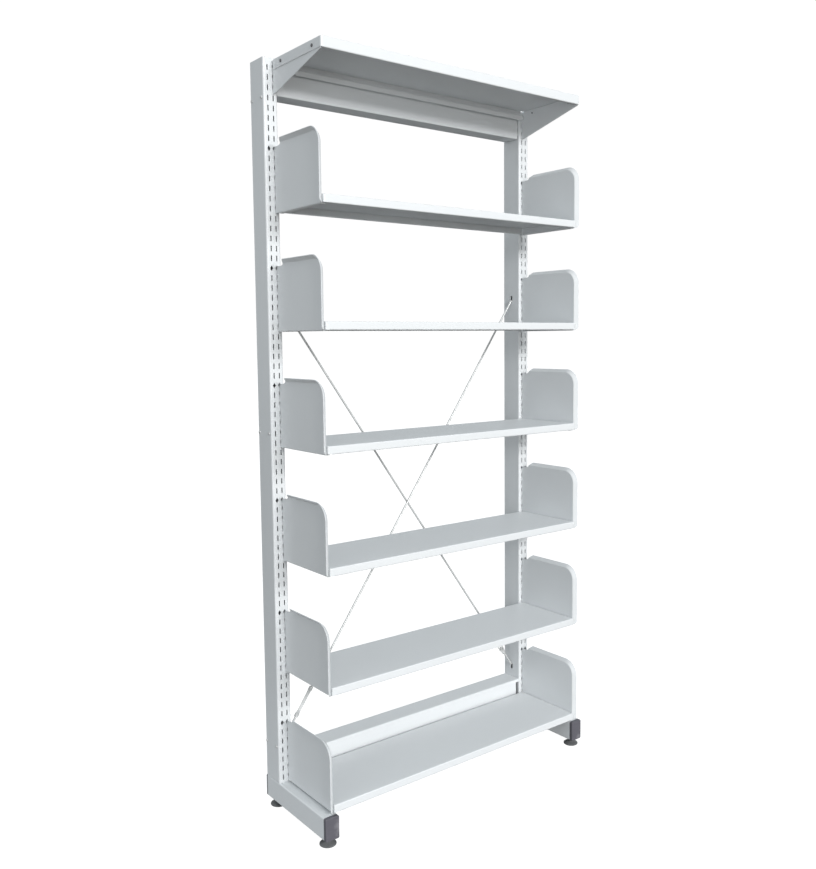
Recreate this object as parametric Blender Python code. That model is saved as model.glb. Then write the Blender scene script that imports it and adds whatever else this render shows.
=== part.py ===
"""Single-sided library rack: two slotted columns on legs, six hook-on shelves, a canopy and cross bracing.

Metres, +Z up, the front faces -Y. The origin is on the floor, under the middle of the rack.
"""

import math

import bmesh
import bpy
from mathutils import Matrix, Quaternion, Vector

# Gap left between pieces that touch on the real rack
FIT = 0.0003

# Overall frame
BAY = 0.900
HEIGHT = 2.000
TIERS = 6

# Columns: rolled steel tube, slotted in the front face
COLUMN_WIDTH = 0.040
COLUMN_DEPTH = 0.072
COLUMN_WALL = 0.002
COLUMN_ROUND = 0.0045
SLOT_PITCH = 0.0254
SLOT_END = 0.012
SLOT_WIDTH = 0.0032
SLOT_HEIGHT = 0.0146
SLOT_FROM_TOP = 0.0248
SLOT_ROW_OFFSET = 0.0077
TOP_TIER_SLOT = 8
LOWEST_TIER_CLEARANCE = 0.0025
DIAMOND_WIDTH = 0.0094
DIAMOND_HEIGHT = 0.0154

# Legs, caps and levellers
LEG_WIDTH = 0.040
LEG_HEIGHT = 0.060
LEG_WALL = 0.002
LEG_ROUND = 0.004
LEG_REACH = 0.2265
FRONT_CAP_DEPTH = 0.0105
FRONT_CAP_BEVEL = 0.003
REAR_CAP_STANDS = 0.002
LEG_REAR_SHORT = 0.0038
REAR_CAP_BEVEL = 0.0008
PLUG_DEPTH = 0.012
PLUG_HEIGHT = 0.034
LEVELLER_HEIGHT = 0.020
LEVELLER_RADIUS = 0.022
LEVELLER_EDGE = 0.004
LEVELLER_CHAMFER = 0.001
LEVELLER_SIDES = 16
LEVELLER_CONE_TOP = 0.011
LEVELLER_NECK_RADIUS = 0.0085
LEVELLER_NECK_TOP = 0.0155
LEVELLER_FROM_FRONT = 0.0135
LEVELLER_FROM_REAR = 0.028
STUD_RADIUS = 0.004
STUD_TOP = 0.036
STUD_CLEARANCE = 0.0004
NUT_RADIUS = 0.008
NUT_HEIGHT = 0.008
HEX_SIDES = 6

# Beams between the columns
BEAM_HEIGHT = 0.0702
BEAM_INSET = 0.001
BEAM_DEPTH = 0.069
BEAM_SHEET = 0.002
BEAM_LIP = 0.009
BEAM_WEB_INSET = 0.005
TOP_WEB_SHORT = 0.002
BOTTOM_WEB_SHORT = 0.009
BEAM_ROUND = 0.003
TOP_BEAM_DROP = 0.091
TOP_TAB_RISE = 0.0099
BOTTOM_TAB_RISE = 0.0070
TAB_THICKNESS = 0.0016
TAB_HEIGHT = 0.008
TAB_TOOTH = 0.005
TAB_REACH = 0.0045
TAB_ROOT = 0.010
TAB_SLOT_WIDTH = 0.003

# Shelf brackets: u runs forward from the column face, w up from the tier's diamond hole
SHEET_PLATE = 0.002
BRACKET_TOP = 0.0208
BRACKET_FRONT = 0.2345
BRACKET_CORNER = 0.044
BRACKET_CORNER_STEPS = 6
BRACKET_RIM = 0.009
BRACKET_FLARE = 0.010
BRACKET_RIM_REAR_CUT = 0.012
BRACKET_RIM_FOOT_CUT = 0.007
BRACKET_NOTCH_FRONT = 0.032
BRACKET_NOTCH_ROUND = 0.018
BRACKET_NOTCH_FLOOR = 0.0048
BRACKET_REAR = 0.0032
FLANGE_WIDTH = 0.014
FLANGE_REAR = 0.014
FLANGE_FRONT = 0.222

# Hooks shared by brackets and gussets
HOOK_NECK_TOP = -0.0006
HOOK_TOOTH = 0.0055
HOOK_TOOTH_DEPTH = 0.0022
HOOK_BEHIND_WALL = 0.0004
TAB_BEHIND_WALL = 0.0012
DIAMOND_NECK_BOTTOM = -0.0057

# Shelves: folded trays that rest on the bracket flanges
SHELF_SHEET = 0.0015
SHELF_HEIGHT = 0.021
SHELF_TOP = -0.1415
SHELF_FRONT = 0.2325
SHELF_REAR = 0.006
SHELF_SIDE_GAP = 0.0008
SHELF_LIP = 0.012

# Canopy, its gussets and screws: drops are measured down from the canopy's top
CANOPY_REACH = 0.240
CANOPY_DROP = 0.005
CANOPY_FLANGE = 0.027
CANOPY_END_REAR = 0.010
CANOPY_BACK = 0.003
CANOPY_BACK_STEP = 0.010
CANOPY_BACK_STEP_AT = 0.0165
CANOPY_BACK_DROP = 0.031
CANOPY_BACK_GAP = 0.0035
CANOPY_BACK_RELIEF = 0.0085
CANOPY_LIP = 0.010
CANOPY_LIP_SHORT = 0.0018
GUSSET_FOOT = 0.0149
GUSSET_REAR_FOOT = 0.012
GUSSET_FRONT = 0.236
GUSSET_NOSE_DROP = 0.029
GUSSET_TOP_GAP = 0.0005
CANOPY_SCREW_AT = ((0.048, 0.0135), (0.200, 0.0150))

# Small screws
SCREW_HEAD_RADIUS = 0.0042
SCREW_HEAD_HEIGHT = 0.0025
SCREW_RIM = 0.001
SCREW_CROWN_RADIUS = 0.0023
SCREW_SHANK_RADIUS = 0.0021
SCREW_HOLE_RADIUS = 0.0025
SCREW_BEYOND = 0.003
SIDE_SCREW_TOP_DROP = 0.100
SIDE_SCREW_MIDDLE = 1.036
SIDE_SCREW_BOTTOM = 0.181
SIDE_SCREW_FRONT = 0.0105
SIDE_SCREW_REAR = 0.0635

# Cross bracing in the middle of the column depth
ROD_RADIUS = 0.003
BRACE_SLOT_WIDTH = 0.009
BRACE_SLOT_HEIGHT = 0.020
BRACE_SLOT_DROP = 0.593
BRACE_SLOT_LOWER = 0.186
BRACE_SEAT = 0.0004
BRACE_END_OFFSET = 0.0010
BRACE_CROSS_OFFSET = 0.0033
BRACE_HOOK_BACK = 0.010
BRACE_HOOK_TIP = 0.0115
BRACE_HOOK_OUT = 0.0025
TURNBUCKLE_FROM_END = 0.099
TURNBUCKLE_LENGTH = 0.090
TURNBUCKLE_BOSS = 0.012
TURNBUCKLE_BOSS_RADIUS = 0.0058
TURNBUCKLE_BOSS_STANDS = 0.004
TURNBUCKLE_NECK = 0.0100
TURNBUCKLE_WIDTH = 0.0172
TURNBUCKLE_THICK = 0.0092
TURNBUCKLE_SHOULDER = 0.020
TURNBUCKLE_SLOT = 0.0096
TURNBUCKLE_SLOT_TIP = 0.0060
TURNBUCKLE_SLOT_END = 0.016
TURNBUCKLE_SLOT_SHOULDER = 0.026
TURNBUCKLE_ROD_GAP = 0.036
TURNBUCKLE_TURNS = {"front": 54, "rear": -25}
ROD_SIDES = 8

# Derived positions
COLUMN_FACE = (CANOPY_REACH - COLUMN_DEPTH - REAR_CAP_STANDS) / 2
COLUMN_X = BAY / 2
LEG_TOP = LEVELLER_HEIGHT + LEG_HEIGHT
COLUMN_BOTTOM = LEG_TOP + FIT
TOP_SLOT = HEIGHT - SLOT_FROM_TOP
SLOT_COUNT = int((TOP_SLOT - COLUMN_BOTTOM - SLOT_END) / SLOT_PITCH) + 1
ROW_X = COLUMN_X - SLOT_ROW_OFFSET
INNER_SIDE_X = COLUMN_X - COLUMN_WIDTH / 2
OUTER_SIDE_X = COLUMN_X + COLUMN_WIDTH / 2
FLANGE_LEVEL = SHELF_TOP - SHELF_HEIGHT - FIT - SHEET_PLATE / 2
CANOPY_TOP = SLOT_FROM_TOP + SLOT_PITCH * TOP_TIER_SLOT - CANOPY_DROP
LOWEST_TIER = LEG_TOP + LOWEST_TIER_CLEARANCE + SHEET_PLATE / 2 - FLANGE_LEVEL
LOWEST_TIER_SLOT = int((TOP_SLOT - LOWEST_TIER) / SLOT_PITCH)
BRACE_Y = COLUMN_FACE + COLUMN_DEPTH / 2
BRACE_SLOT_UPPER = HEIGHT - BRACE_SLOT_DROP
TOP_BEAM_UNDERSIDE = HEIGHT - TOP_BEAM_DROP
LEG_REAR = COLUMN_FACE + COLUMN_DEPTH - LEG_REAR_SHORT
SIDE_SCREW_HEIGHTS = (HEIGHT - SIDE_SCREW_TOP_DROP, SIDE_SCREW_MIDDLE, SIDE_SCREW_BOTTOM)
SIDES = (("left", -1), ("right", 1))


def clear_scene():
    for obj in list(bpy.data.objects):
        bpy.data.objects.remove(obj, do_unlink=True)


def make_material(name, colour, roughness, metallic):
    material = bpy.data.materials.new(name)
    material.use_nodes = True
    shader = material.node_tree.nodes["Principled BSDF"]
    shader.inputs["Base Color"].default_value = (*colour, 1.0)
    shader.inputs["Roughness"].default_value = roughness
    shader.inputs["Metallic"].default_value = metallic
    return material


def tier_slot(tier):
    """Number, from the top, of the slot that a tier's diamond hole replaces: tiers share the slots evenly."""
    return round(TOP_TIER_SLOT + (LOWEST_TIER_SLOT - TOP_TIER_SLOT) * tier / (TIERS - 1))


def tier_height(tier):
    """Height of the diamond hole that a tier hangs from, counted down from the top."""
    return TOP_SLOT - SLOT_PITCH * tier_slot(tier)


def rounded_rectangle(width, height, radius, steps=3):
    points = []
    corners = ((1, 1, 0), (-1, 1, 90), (-1, -1, 180), (1, -1, 270))
    for across, up, start in corners:
        for step in range(steps + 1):
            angle = math.radians(start + 90 * step / steps)
            x = across * (width / 2 - radius) + radius * math.cos(angle)
            y = up * (height / 2 - radius) + radius * math.sin(angle)
            points.append((x, y))
    return points


def circle(radius, sides):
    turns = [math.tau * (side + 0.5) / sides for side in range(sides)]
    return [(radius * math.cos(turn), radius * math.sin(turn)) for turn in turns]


def loft(loops, ring=False, into=None):
    """Skins equal loops of points in order. A ring joins the last loop to the first, with no end caps."""
    mesh = into or bmesh.new()
    rows = [[mesh.verts.new(point) for point in loop] for loop in loops]
    pairs = list(zip(rows, rows[1:]))
    if ring:
        pairs.append((rows[-1], rows[0]))
    made = []
    for low, high in pairs:
        for here in range(len(low)):
            ahead = (here + 1) % len(low)
            made.append(mesh.faces.new((low[here], low[ahead], high[ahead], high[here])))
    if not ring:
        made.append(mesh.faces.new(list(reversed(rows[0]))))
        made.append(mesh.faces.new(rows[-1]))
    bmesh.ops.recalc_face_normals(mesh, faces=made)
    return mesh


def prism_x(outline, start, end, into=None):
    """Solid between two planes across X, from (y, z) points."""
    return loft([[(x, y, z) for y, z in outline] for x in (start, end)], into=into)


def prism_y(outline, start, end, into=None):
    """Solid between two planes across Y, from (x, z) points."""
    return loft([[(x, y, z) for x, z in outline] for y in (start, end)], into=into)


def box(low, high, into=None):
    outline = [(low[0], low[1]), (high[0], low[1]), (high[0], high[1]), (low[0], high[1])]
    return loft([[(x, y, z) for x, y in outline] for z in (low[2], high[2])], into=into)


def turned(profile, sides, place=Matrix.Identity(4), into=None):
    """Solid of revolution about local Z from (radius, height) pairs, carried by the place matrix."""
    loops = []
    for radius, height in profile:
        loops.append([place @ Vector((x, y, height)) for x, y in circle(radius, sides)])
    return loft(loops, into=into)


def swept(path, radius, sides):
    """Round bar along a bent path, with mitred bends."""
    loops = []
    flat = circle(radius, sides)
    for index, point in enumerate(path):
        before = (point - path[index - 1]).normalized() if index else None
        after = (path[index + 1] - point).normalized() if index + 1 < len(path) else None
        along = before or after
        across = Vector((0, 1, 0))
        upward = across.cross(along).normalized()
        across = along.cross(upward)
        ring = [across * a + upward * b for a, b in flat]
        if before and after:
            plane = (before + after).normalized()
            ring = [spoke - along * (spoke.dot(plane) / along.dot(plane)) for spoke in ring]
        loops.append([point + spoke for spoke in ring])
    return loft(loops)


def add_object(name, mesh, material, location=(0, 0, 0), parent=None, rotation=None):
    data = bpy.data.meshes.new(name)
    mesh.to_mesh(data)
    mesh.free()
    obj = bpy.data.objects.new(name, data)
    bpy.context.scene.collection.objects.link(obj)
    obj.location = location
    if rotation is not None:
        obj.rotation_mode = "QUATERNION"
        obj.rotation_quaternion = rotation
    obj.parent = parent
    data.materials.append(material)
    return obj


def add_boolean(obj, mesh, operation, label):
    """Cuts or joins with a helper mesh given in the object's own coordinates."""
    data = bpy.data.meshes.new(f"{obj.name}_{label}")
    mesh.to_mesh(data)
    mesh.free()
    helper = bpy.data.objects.new(f"{obj.name}_{label}", data)
    bpy.context.scene.collection.objects.link(helper)
    helper.parent = obj
    helper.hide_render = True
    helper.display_type = "WIRE"
    modifier = obj.modifiers.new(label, "BOOLEAN")
    modifier.operation = operation
    modifier.solver = "EXACT"
    modifier.object = helper


def add_sheet(obj, thickness):
    """Gives a folded surface its sheet thickness, half on each side."""
    modifier = obj.modifiers.new("sheet", "SOLIDIFY")
    modifier.thickness = thickness
    modifier.offset = 0
    modifier.use_even_offset = True
    modifier.use_quality_normals = True


def add_empty(name, location, parent=None):
    empty = bpy.data.objects.new(name, None)
    bpy.context.scene.collection.objects.link(empty)
    empty.location = location
    empty.parent = parent
    return empty


def column_openings(side):
    """Everything punched in a column: slot rows, diamonds, side screw holes, beam and brace slots."""
    cutter = bmesh.new()
    through = (COLUMN_FACE - COLUMN_WALL, COLUMN_FACE + 2 * COLUMN_WALL)
    diamonds = {tier_slot(tier) for tier in range(TIERS)}
    for offset in (-SLOT_ROW_OFFSET, SLOT_ROW_OFFSET):
        for index in range(SLOT_COUNT):
            middle = TOP_SLOT - SLOT_PITCH * index
            if index in diamonds:
                half_width = DIAMOND_WIDTH / 2
                half_height = DIAMOND_HEIGHT / 2
                outline = [(half_width, 0), (0, half_height), (-half_width, 0), (0, -half_height)]
            else:
                half_width = SLOT_WIDTH / 2
                half_height = SLOT_HEIGHT / 2
                outline = [(half_width, -half_height), (half_width, half_height)]
                outline += [(-half_width, half_height), (-half_width, -half_height)]
            outline = [(offset + x, middle + z) for x, z in outline]
            prism_y(outline, *through, into=cutter)
    outer = side * COLUMN_WIDTH / 2
    for height in SIDE_SCREW_HEIGHTS:
        for depth in (SIDE_SCREW_FRONT, SIDE_SCREW_REAR):
            place = Matrix.Translation((outer, COLUMN_FACE + depth, height))
            place = place @ Matrix.Rotation(math.pi / 2, 4, "Y")
            ends = [(SCREW_HOLE_RADIUS, -2 * COLUMN_WALL), (SCREW_HOLE_RADIUS, 2 * COLUMN_WALL)]
            turned(ends, ROD_SIDES, place, cutter)
    inner_low = -outer - 2 * COLUMN_WALL
    inner_high = -outer + 2 * COLUMN_WALL
    for height in (BRACE_SLOT_LOWER, BRACE_SLOT_UPPER):
        low = (inner_low, BRACE_Y - BRACE_SLOT_WIDTH / 2, height - BRACE_SLOT_HEIGHT / 2)
        high = (inner_high, BRACE_Y + BRACE_SLOT_WIDTH / 2, height + BRACE_SLOT_HEIGHT / 2)
        box(low, high, cutter)
    for underside, _, rises in beam_ends().values():
        for rise in rises:
            slot_bottom = underside + rise - FIT
            for depth in beam_tab_depths():
                low = (inner_low, depth - TAB_SLOT_WIDTH / 2, slot_bottom)
                high = (inner_high, depth + TAB_SLOT_WIDTH / 2, slot_bottom + SLOT_HEIGHT)
                box(low, high, cutter)
    return cutter


def beam_tab_depths():
    """Y of the front and rear hook tabs, in the middle of each web."""
    front = COLUMN_FACE + BEAM_INSET + BEAM_WEB_INSET + BEAM_SHEET / 2
    rear = COLUMN_FACE + BEAM_INSET + BEAM_DEPTH - BEAM_WEB_INSET - BEAM_SHEET / 2
    return front, rear


def beam_ends():
    """Height of each beam's underside, X of its web ends, and the rise of its tabs above the underside."""
    half = INNER_SIDE_X - FIT
    return {
        "top": (TOP_BEAM_UNDERSIDE, half - TOP_WEB_SHORT, (TOP_TAB_RISE, TOP_TAB_RISE + SLOT_PITCH)),
        "bottom": (COLUMN_BOTTOM, half - BOTTOM_WEB_SHORT, (BOTTOM_TAB_RISE,)),
    }


def build_columns(paint):
    for label, side in SIDES:
        depth_middle = COLUMN_FACE + COLUMN_DEPTH / 2
        outer = rounded_rectangle(COLUMN_WIDTH, COLUMN_DEPTH, COLUMN_ROUND)
        wall = 2 * COLUMN_WALL
        inner = rounded_rectangle(COLUMN_WIDTH - wall, COLUMN_DEPTH - wall, COLUMN_ROUND - COLUMN_WALL)
        loops = []
        inside = ((inner, HEIGHT - COLUMN_WALL), (inner, COLUMN_BOTTOM))
        outside = ((outer, COLUMN_BOTTOM), (outer, HEIGHT))
        for outline, z in inside + outside:
            loops.append([(x, depth_middle + y, z) for x, y in outline])
        column = add_object(f"column_{label}", loft(loops), paint, (side * COLUMN_X, 0, 0))
        add_boolean(column, column_openings(side), "DIFFERENCE", "openings")


def leveller_places():
    front = COLUMN_FACE - LEG_REACH + LEVELLER_FROM_FRONT
    rear = COLUMN_FACE + COLUMN_DEPTH - LEVELLER_FROM_REAR
    return ("front", front), ("rear", rear)


def build_legs(paint):
    """Leg tubes along Y with a nut welded inside over each leveller."""
    for label, side in SIDES:
        outer = rounded_rectangle(LEG_WIDTH, LEG_HEIGHT, LEG_ROUND)
        wall = 2 * LEG_WALL
        inner = rounded_rectangle(LEG_WIDTH - wall, LEG_HEIGHT - wall, LEG_ROUND - LEG_WALL)
        middle = LEVELLER_HEIGHT + LEG_HEIGHT / 2
        front = COLUMN_FACE - LEG_REACH
        loops = []
        for outline, y in ((outer, front), (outer, LEG_REAR), (inner, LEG_REAR), (inner, front)):
            loops.append([(x, y, middle + z) for x, z in outline])
        leg = add_object(f"leg_{label}", loft(loops, ring=True), paint, (side * COLUMN_X, 0, 0))
        nuts = bmesh.new()
        holes = bmesh.new()
        nut_bottom = LEVELLER_HEIGHT + LEG_WALL / 2
        hole_radius = STUD_RADIUS + STUD_CLEARANCE
        for _, y in leveller_places():
            place = Matrix.Translation((0, y, 0))
            nut_ends = [(NUT_RADIUS, nut_bottom), (NUT_RADIUS, nut_bottom + NUT_HEIGHT)]
            turned(nut_ends, HEX_SIDES, place, nuts)
            hole_ends = [(hole_radius, LEVELLER_HEIGHT / 2), (hole_radius, nut_bottom + 2 * NUT_HEIGHT)]
            turned(hole_ends, LEVELLER_SIDES, place, holes)
        add_boolean(leg, nuts, "UNION", "nuts")
        add_boolean(leg, holes, "DIFFERENCE", "holes")


def build_caps(plastic):
    """End caps: a bevelled block flush with the tube and a plug that sits above the levelling studs."""
    bore_width = LEG_WIDTH - 2 * LEG_WALL - 2 * FIT
    bore_top = LEVELLER_HEIGHT + LEG_HEIGHT - LEG_WALL - FIT
    middle = LEVELLER_HEIGHT + LEG_HEIGHT / 2
    plug_middle = bore_top - PLUG_HEIGHT / 2
    plug_round = LEG_ROUND - LEG_WALL
    ends = (
        ("front", COLUMN_FACE - LEG_REACH - FIT, -1, FRONT_CAP_DEPTH, FRONT_CAP_BEVEL),
        ("rear", LEG_REAR + FIT, 1, LEG_REAR_SHORT + REAR_CAP_STANDS - FIT, REAR_CAP_BEVEL),
    )
    for label, side in SIDES:
        for end, seat, outward, depth, bevel in ends:
            face = rounded_rectangle(LEG_WIDTH - 2 * bevel, LEG_HEIGHT - 2 * bevel, LEG_ROUND - bevel)
            body = rounded_rectangle(LEG_WIDTH, LEG_HEIGHT, LEG_ROUND)
            plug = rounded_rectangle(bore_width, PLUG_HEIGHT, plug_round)
            stations = (
                (face, middle, seat + outward * depth),
                (body, middle, seat + outward * (depth - bevel)),
                (body, middle, seat),
                (plug, plug_middle, seat),
                (plug, plug_middle, seat - outward * PLUG_DEPTH),
            )
            loops = []
            for outline, level, y in stations:
                loops.append([(x, y, level + z) for x, z in outline])
            add_object(f"leg_cap_{end}_{label}", loft(loops), plastic, (side * COLUMN_X, 0, 0))


def build_levellers(plastic):
    """One moulded foot on a threaded stud under each end of each leg."""
    profile = (
        (LEVELLER_RADIUS - LEVELLER_CHAMFER, 0),
        (LEVELLER_RADIUS, LEVELLER_CHAMFER),
        (LEVELLER_RADIUS, LEVELLER_EDGE),
        (LEVELLER_NECK_RADIUS, LEVELLER_CONE_TOP),
        (LEVELLER_NECK_RADIUS, LEVELLER_NECK_TOP),
        (STUD_RADIUS, LEVELLER_NECK_TOP),
        (STUD_RADIUS, STUD_TOP),
    )
    for label, side in SIDES:
        for end, y in leveller_places():
            foot = turned(profile, LEVELLER_SIDES)
            add_object(f"leveller_{end}_{label}", foot, plastic, (side * COLUMN_X, y, 0))


def build_beams(paint):
    """Box beams with an overhanging top sheet, hooked into the columns by tabs on the webs."""
    half = INNER_SIDE_X - FIT
    depth_middle = COLUMN_FACE + BEAM_INSET + BEAM_DEPTH / 2
    web_depth = BEAM_DEPTH - 2 * BEAM_WEB_INSET
    box_height = BEAM_HEIGHT - BEAM_SHEET / 2
    outer = rounded_rectangle(web_depth, box_height, BEAM_ROUND)
    inner_round = BEAM_ROUND - BEAM_SHEET
    inner = rounded_rectangle(web_depth - 2 * BEAM_SHEET, box_height - 2 * BEAM_SHEET, inner_round)
    for label, (underside, web_half, rises) in beam_ends().items():
        level = box_height / 2
        loops = []
        for outline, x in ((outer, -web_half), (outer, web_half), (inner, web_half), (inner, -web_half)):
            loops.append([(x, depth_middle + y, level + z) for y, z in outline])
        beam = add_object(f"beam_{label}", loft(loops, ring=True), paint, (0, 0, underside))
        front = COLUMN_FACE + BEAM_INSET
        rear = front + BEAM_DEPTH
        under = BEAM_HEIGHT - BEAM_SHEET
        lip = BEAM_HEIGHT - BEAM_LIP
        cover = [(front, lip), (front + BEAM_SHEET, lip), (front + BEAM_SHEET, under)]
        cover += [(rear - BEAM_SHEET, under), (rear - BEAM_SHEET, lip), (rear, lip)]
        cover += [(rear, BEAM_HEIGHT), (front, BEAM_HEIGHT)]
        add_boolean(beam, prism_x(cover, -half, half), "UNION", "cover")
        tabs = bmesh.new()
        root = web_half - TAB_ROOT
        behind = INNER_SIDE_X + COLUMN_WALL + FIT
        tip = behind + TAB_REACH
        for bottom in rises:
            top = bottom + TAB_HEIGHT
            tooth = bottom - TAB_TOOTH
            outline = [(root, bottom), (behind, bottom), (behind, tooth)]
            outline += [(tip, tooth), (tip, top), (root, top)]
            for _, side in SIDES:
                placed = [(side * x, z) for x, z in outline]
                for y in beam_tab_depths():
                    prism_y(placed, y - TAB_THICKNESS / 2, y + TAB_THICKNESS / 2, tabs)
        add_boolean(beam, tabs, "UNION", "tabs")


def hook_outline(middle, kind):
    """Rear-edge points of one tab, from top to bottom, as (u, w) with u forward of the column face."""
    top = middle + HOOK_NECK_TOP
    if kind == "diamond":
        bottom = middle + DIAMOND_NECK_BOTTOM
    else:
        bottom = middle - SLOT_HEIGHT / 2 + FIT
    if kind != "tooth":
        end = -COLUMN_WALL - TAB_BEHIND_WALL
        return [(BRACKET_REAR, top), (end, top), (end, bottom), (BRACKET_REAR, bottom)]
    behind = -COLUMN_WALL - HOOK_BEHIND_WALL
    end = behind - HOOK_TOOTH_DEPTH
    tooth = bottom - HOOK_TOOTH
    points = [(BRACKET_REAR, top), (end, top), (end, tooth), (behind, tooth)]
    return points + [(behind, bottom), (BRACKET_REAR, bottom)]


def bracket_rear():
    """Rear edge of a shelf bracket from the notch floor down to the flange."""
    points = [(BRACKET_REAR, BRACKET_NOTCH_FLOOR)]
    count = int(-FLANGE_LEVEL / SLOT_PITCH) + 1
    for index in range(count):
        kind = "diamond" if index == 0 else ("tooth" if index % 2 else "plain")
        points += hook_outline(-SLOT_PITCH * index, kind)
    points[-1] = (FIT, points[-1][1])
    points.append((FIT, FLANGE_LEVEL))
    return points


def rim_path(inset):
    """Rim at a distance inside the silhouette: along the top, round the corner and down the front."""
    flared = 1 - inset / BRACKET_RIM
    points = [(BRACKET_NOTCH_FRONT + flared * BRACKET_RIM_REAR_CUT, BRACKET_TOP - inset)]
    centre_u = BRACKET_FRONT - BRACKET_CORNER
    centre_w = BRACKET_TOP - BRACKET_CORNER
    radius = BRACKET_CORNER - inset
    for step in range(BRACKET_CORNER_STEPS + 1):
        angle = math.radians(90 - 90 * step / BRACKET_CORNER_STEPS)
        points.append((centre_u + radius * math.cos(angle), centre_w + radius * math.sin(angle)))
    points.append((BRACKET_FRONT - inset, FLANGE_LEVEL + flared * BRACKET_RIM_FOOT_CUT))
    return points


def bracket_surface(side):
    """Mid-surface of a bracket: flat plate with hooks, outward flared rim and inward shelf flange."""
    mesh = bmesh.new()

    def vertex(u, w, outward=0.0):
        return mesh.verts.new((side * outward, -u, w))

    bend = [vertex(u, w) for u, w in rim_path(BRACKET_RIM)]
    edge = [vertex(u, w, BRACKET_FLARE) for u, w in rim_path(0)]
    for here in range(len(bend) - 1):
        mesh.faces.new((bend[here], bend[here + 1], edge[here + 1], edge[here]))

    top = BRACKET_TOP - BRACKET_RIM
    drop = top - BRACKET_NOTCH_FLOOR
    curve = []
    for degrees in (30, 60, 90):
        angle = math.radians(degrees)
        u = BRACKET_NOTCH_FRONT - BRACKET_NOTCH_ROUND * (1 - math.cos(angle))
        curve.append((u, top - drop * math.sin(angle)))
    rear = [vertex(u, w) for u, w in curve + bracket_rear()]
    flange_rear = vertex(FLANGE_REAR, FLANGE_LEVEL)
    flange_front = vertex(FLANGE_FRONT, FLANGE_LEVEL)
    mesh.faces.new(bend[::-1] + rear + [flange_rear, flange_front])
    tips = [vertex(u, FLANGE_LEVEL, -FLANGE_WIDTH) for u in (FLANGE_FRONT, FLANGE_REAR)]
    mesh.faces.new((flange_rear, flange_front, *tips))
    bmesh.ops.recalc_face_normals(mesh, faces=mesh.faces)
    return mesh


def shelf_surface():
    """Mid-surface of a shelf tray: top, four flanges and a return lip along the front and the rear."""
    mesh = bmesh.new()
    half_sheet = SHELF_SHEET / 2
    half = ROW_X - SHEET_PLATE / 2 - SHELF_SIDE_GAP - half_sheet
    lip_half = half - SHELF_LIP
    low = half_sheet - SHELF_HEIGHT
    levels = {"front": half_sheet - SHELF_FRONT, "rear": -SHELF_REAR - half_sheet}
    inward = {"front": SHELF_LIP, "rear": -SHELF_LIP}
    top = {}
    bottom = {}
    for end, y in levels.items():
        top[end] = [mesh.verts.new((x, y, -half_sheet)) for x in (-half, half)]
        bottom[end] = [mesh.verts.new((x, y, low)) for x in (-half, -lip_half, lip_half, half)]
        lip = [mesh.verts.new((x, y + inward[end], low)) for x in (lip_half, -lip_half)]
        mesh.faces.new(top[end] + bottom[end][::-1])
        mesh.faces.new(bottom[end][1:3] + lip)
    mesh.faces.new(top["front"] + top["rear"][::-1])
    for corner in (0, -1):
        ring = [top["front"], top["rear"], bottom["rear"], bottom["front"]]
        mesh.faces.new([row[corner] for row in ring])
    bmesh.ops.recalc_face_normals(mesh, faces=mesh.faces)
    return mesh


def build_tiers(paint):
    """Each tier hangs from one empty at its diamond holes: two brackets and the shelf between them."""
    for tier in range(TIERS):
        number = tier + 1
        hung = add_empty(f"tier_{number}", (0, COLUMN_FACE, tier_height(tier)))
        for label, side in SIDES:
            place = (side * ROW_X, 0, 0)
            bracket = add_object(f"bracket_{label}_{number}", bracket_surface(side), paint, place, hung)
            add_sheet(bracket, SHEET_PLATE)
        shelf = add_object(f"shelf_{number}", shelf_surface(), paint, (0, 0, SHELF_TOP), hung)
        add_sheet(shelf, SHELF_SHEET)


def canopy_end():
    """X of the outer face of the canopy's end flange."""
    return ROW_X + SHEET_PLATE / 2 + FIT + SHELF_SHEET


def canopy_surface():
    """Mid-surface of the canopy: top, front and end flanges, front lip and stepped back fold."""
    mesh = bmesh.new()
    half_sheet = SHELF_SHEET / 2
    half = canopy_end() - half_sheet
    back_half = ROW_X - SHEET_PLATE / 2 - CANOPY_BACK_GAP
    fold_half = back_half - CANOPY_BACK_RELIEF
    lip_half = back_half - CANOPY_LIP_SHORT
    front = half_sheet - CANOPY_REACH
    rear = -CANOPY_END_REAR - half_sheet
    back = -CANOPY_BACK - half_sheet
    back_step = -CANOPY_BACK_STEP - half_sheet
    top = CANOPY_TOP - half_sheet
    step = CANOPY_TOP - CANOPY_BACK_STEP_AT
    low = CANOPY_TOP - CANOPY_FLANGE + half_sheet
    back_low = CANOPY_TOP - CANOPY_BACK_DROP

    def row(places, y, z):
        return [mesh.verts.new((x, y, z)) for x in places]

    front_top = row((-half, half), front, top)
    front_low = row((-half, -lip_half, lip_half, half), front, low)
    lip = row((lip_half, -lip_half), front + CANOPY_LIP, low)
    rear_top = row((-half, -fold_half, fold_half, half), rear, top)
    rear_low = row((-half, half), rear, low)
    upper = row((-fold_half, fold_half), back, top)
    fold = row((-fold_half, fold_half), back, step)
    ledge = row((-back_half, -fold_half, fold_half, back_half), back_step, step)
    hem = row((-back_half, back_half), back_step, back_low)
    mesh.faces.new(front_top + rear_top[:1:-1] + upper[::-1] + rear_top[1::-1])
    mesh.faces.new(upper + fold[::-1])
    mesh.faces.new(fold + ledge[2:0:-1])
    mesh.faces.new(ledge + hem[::-1])
    mesh.faces.new(front_top + front_low[::-1])
    mesh.faces.new(front_low[1:3] + lip)
    for corner in (0, -1):
        mesh.faces.new((front_top[corner], rear_top[corner], rear_low[corner], front_low[corner]))
    bmesh.ops.recalc_face_normals(mesh, faces=mesh.faces)
    return mesh


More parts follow.
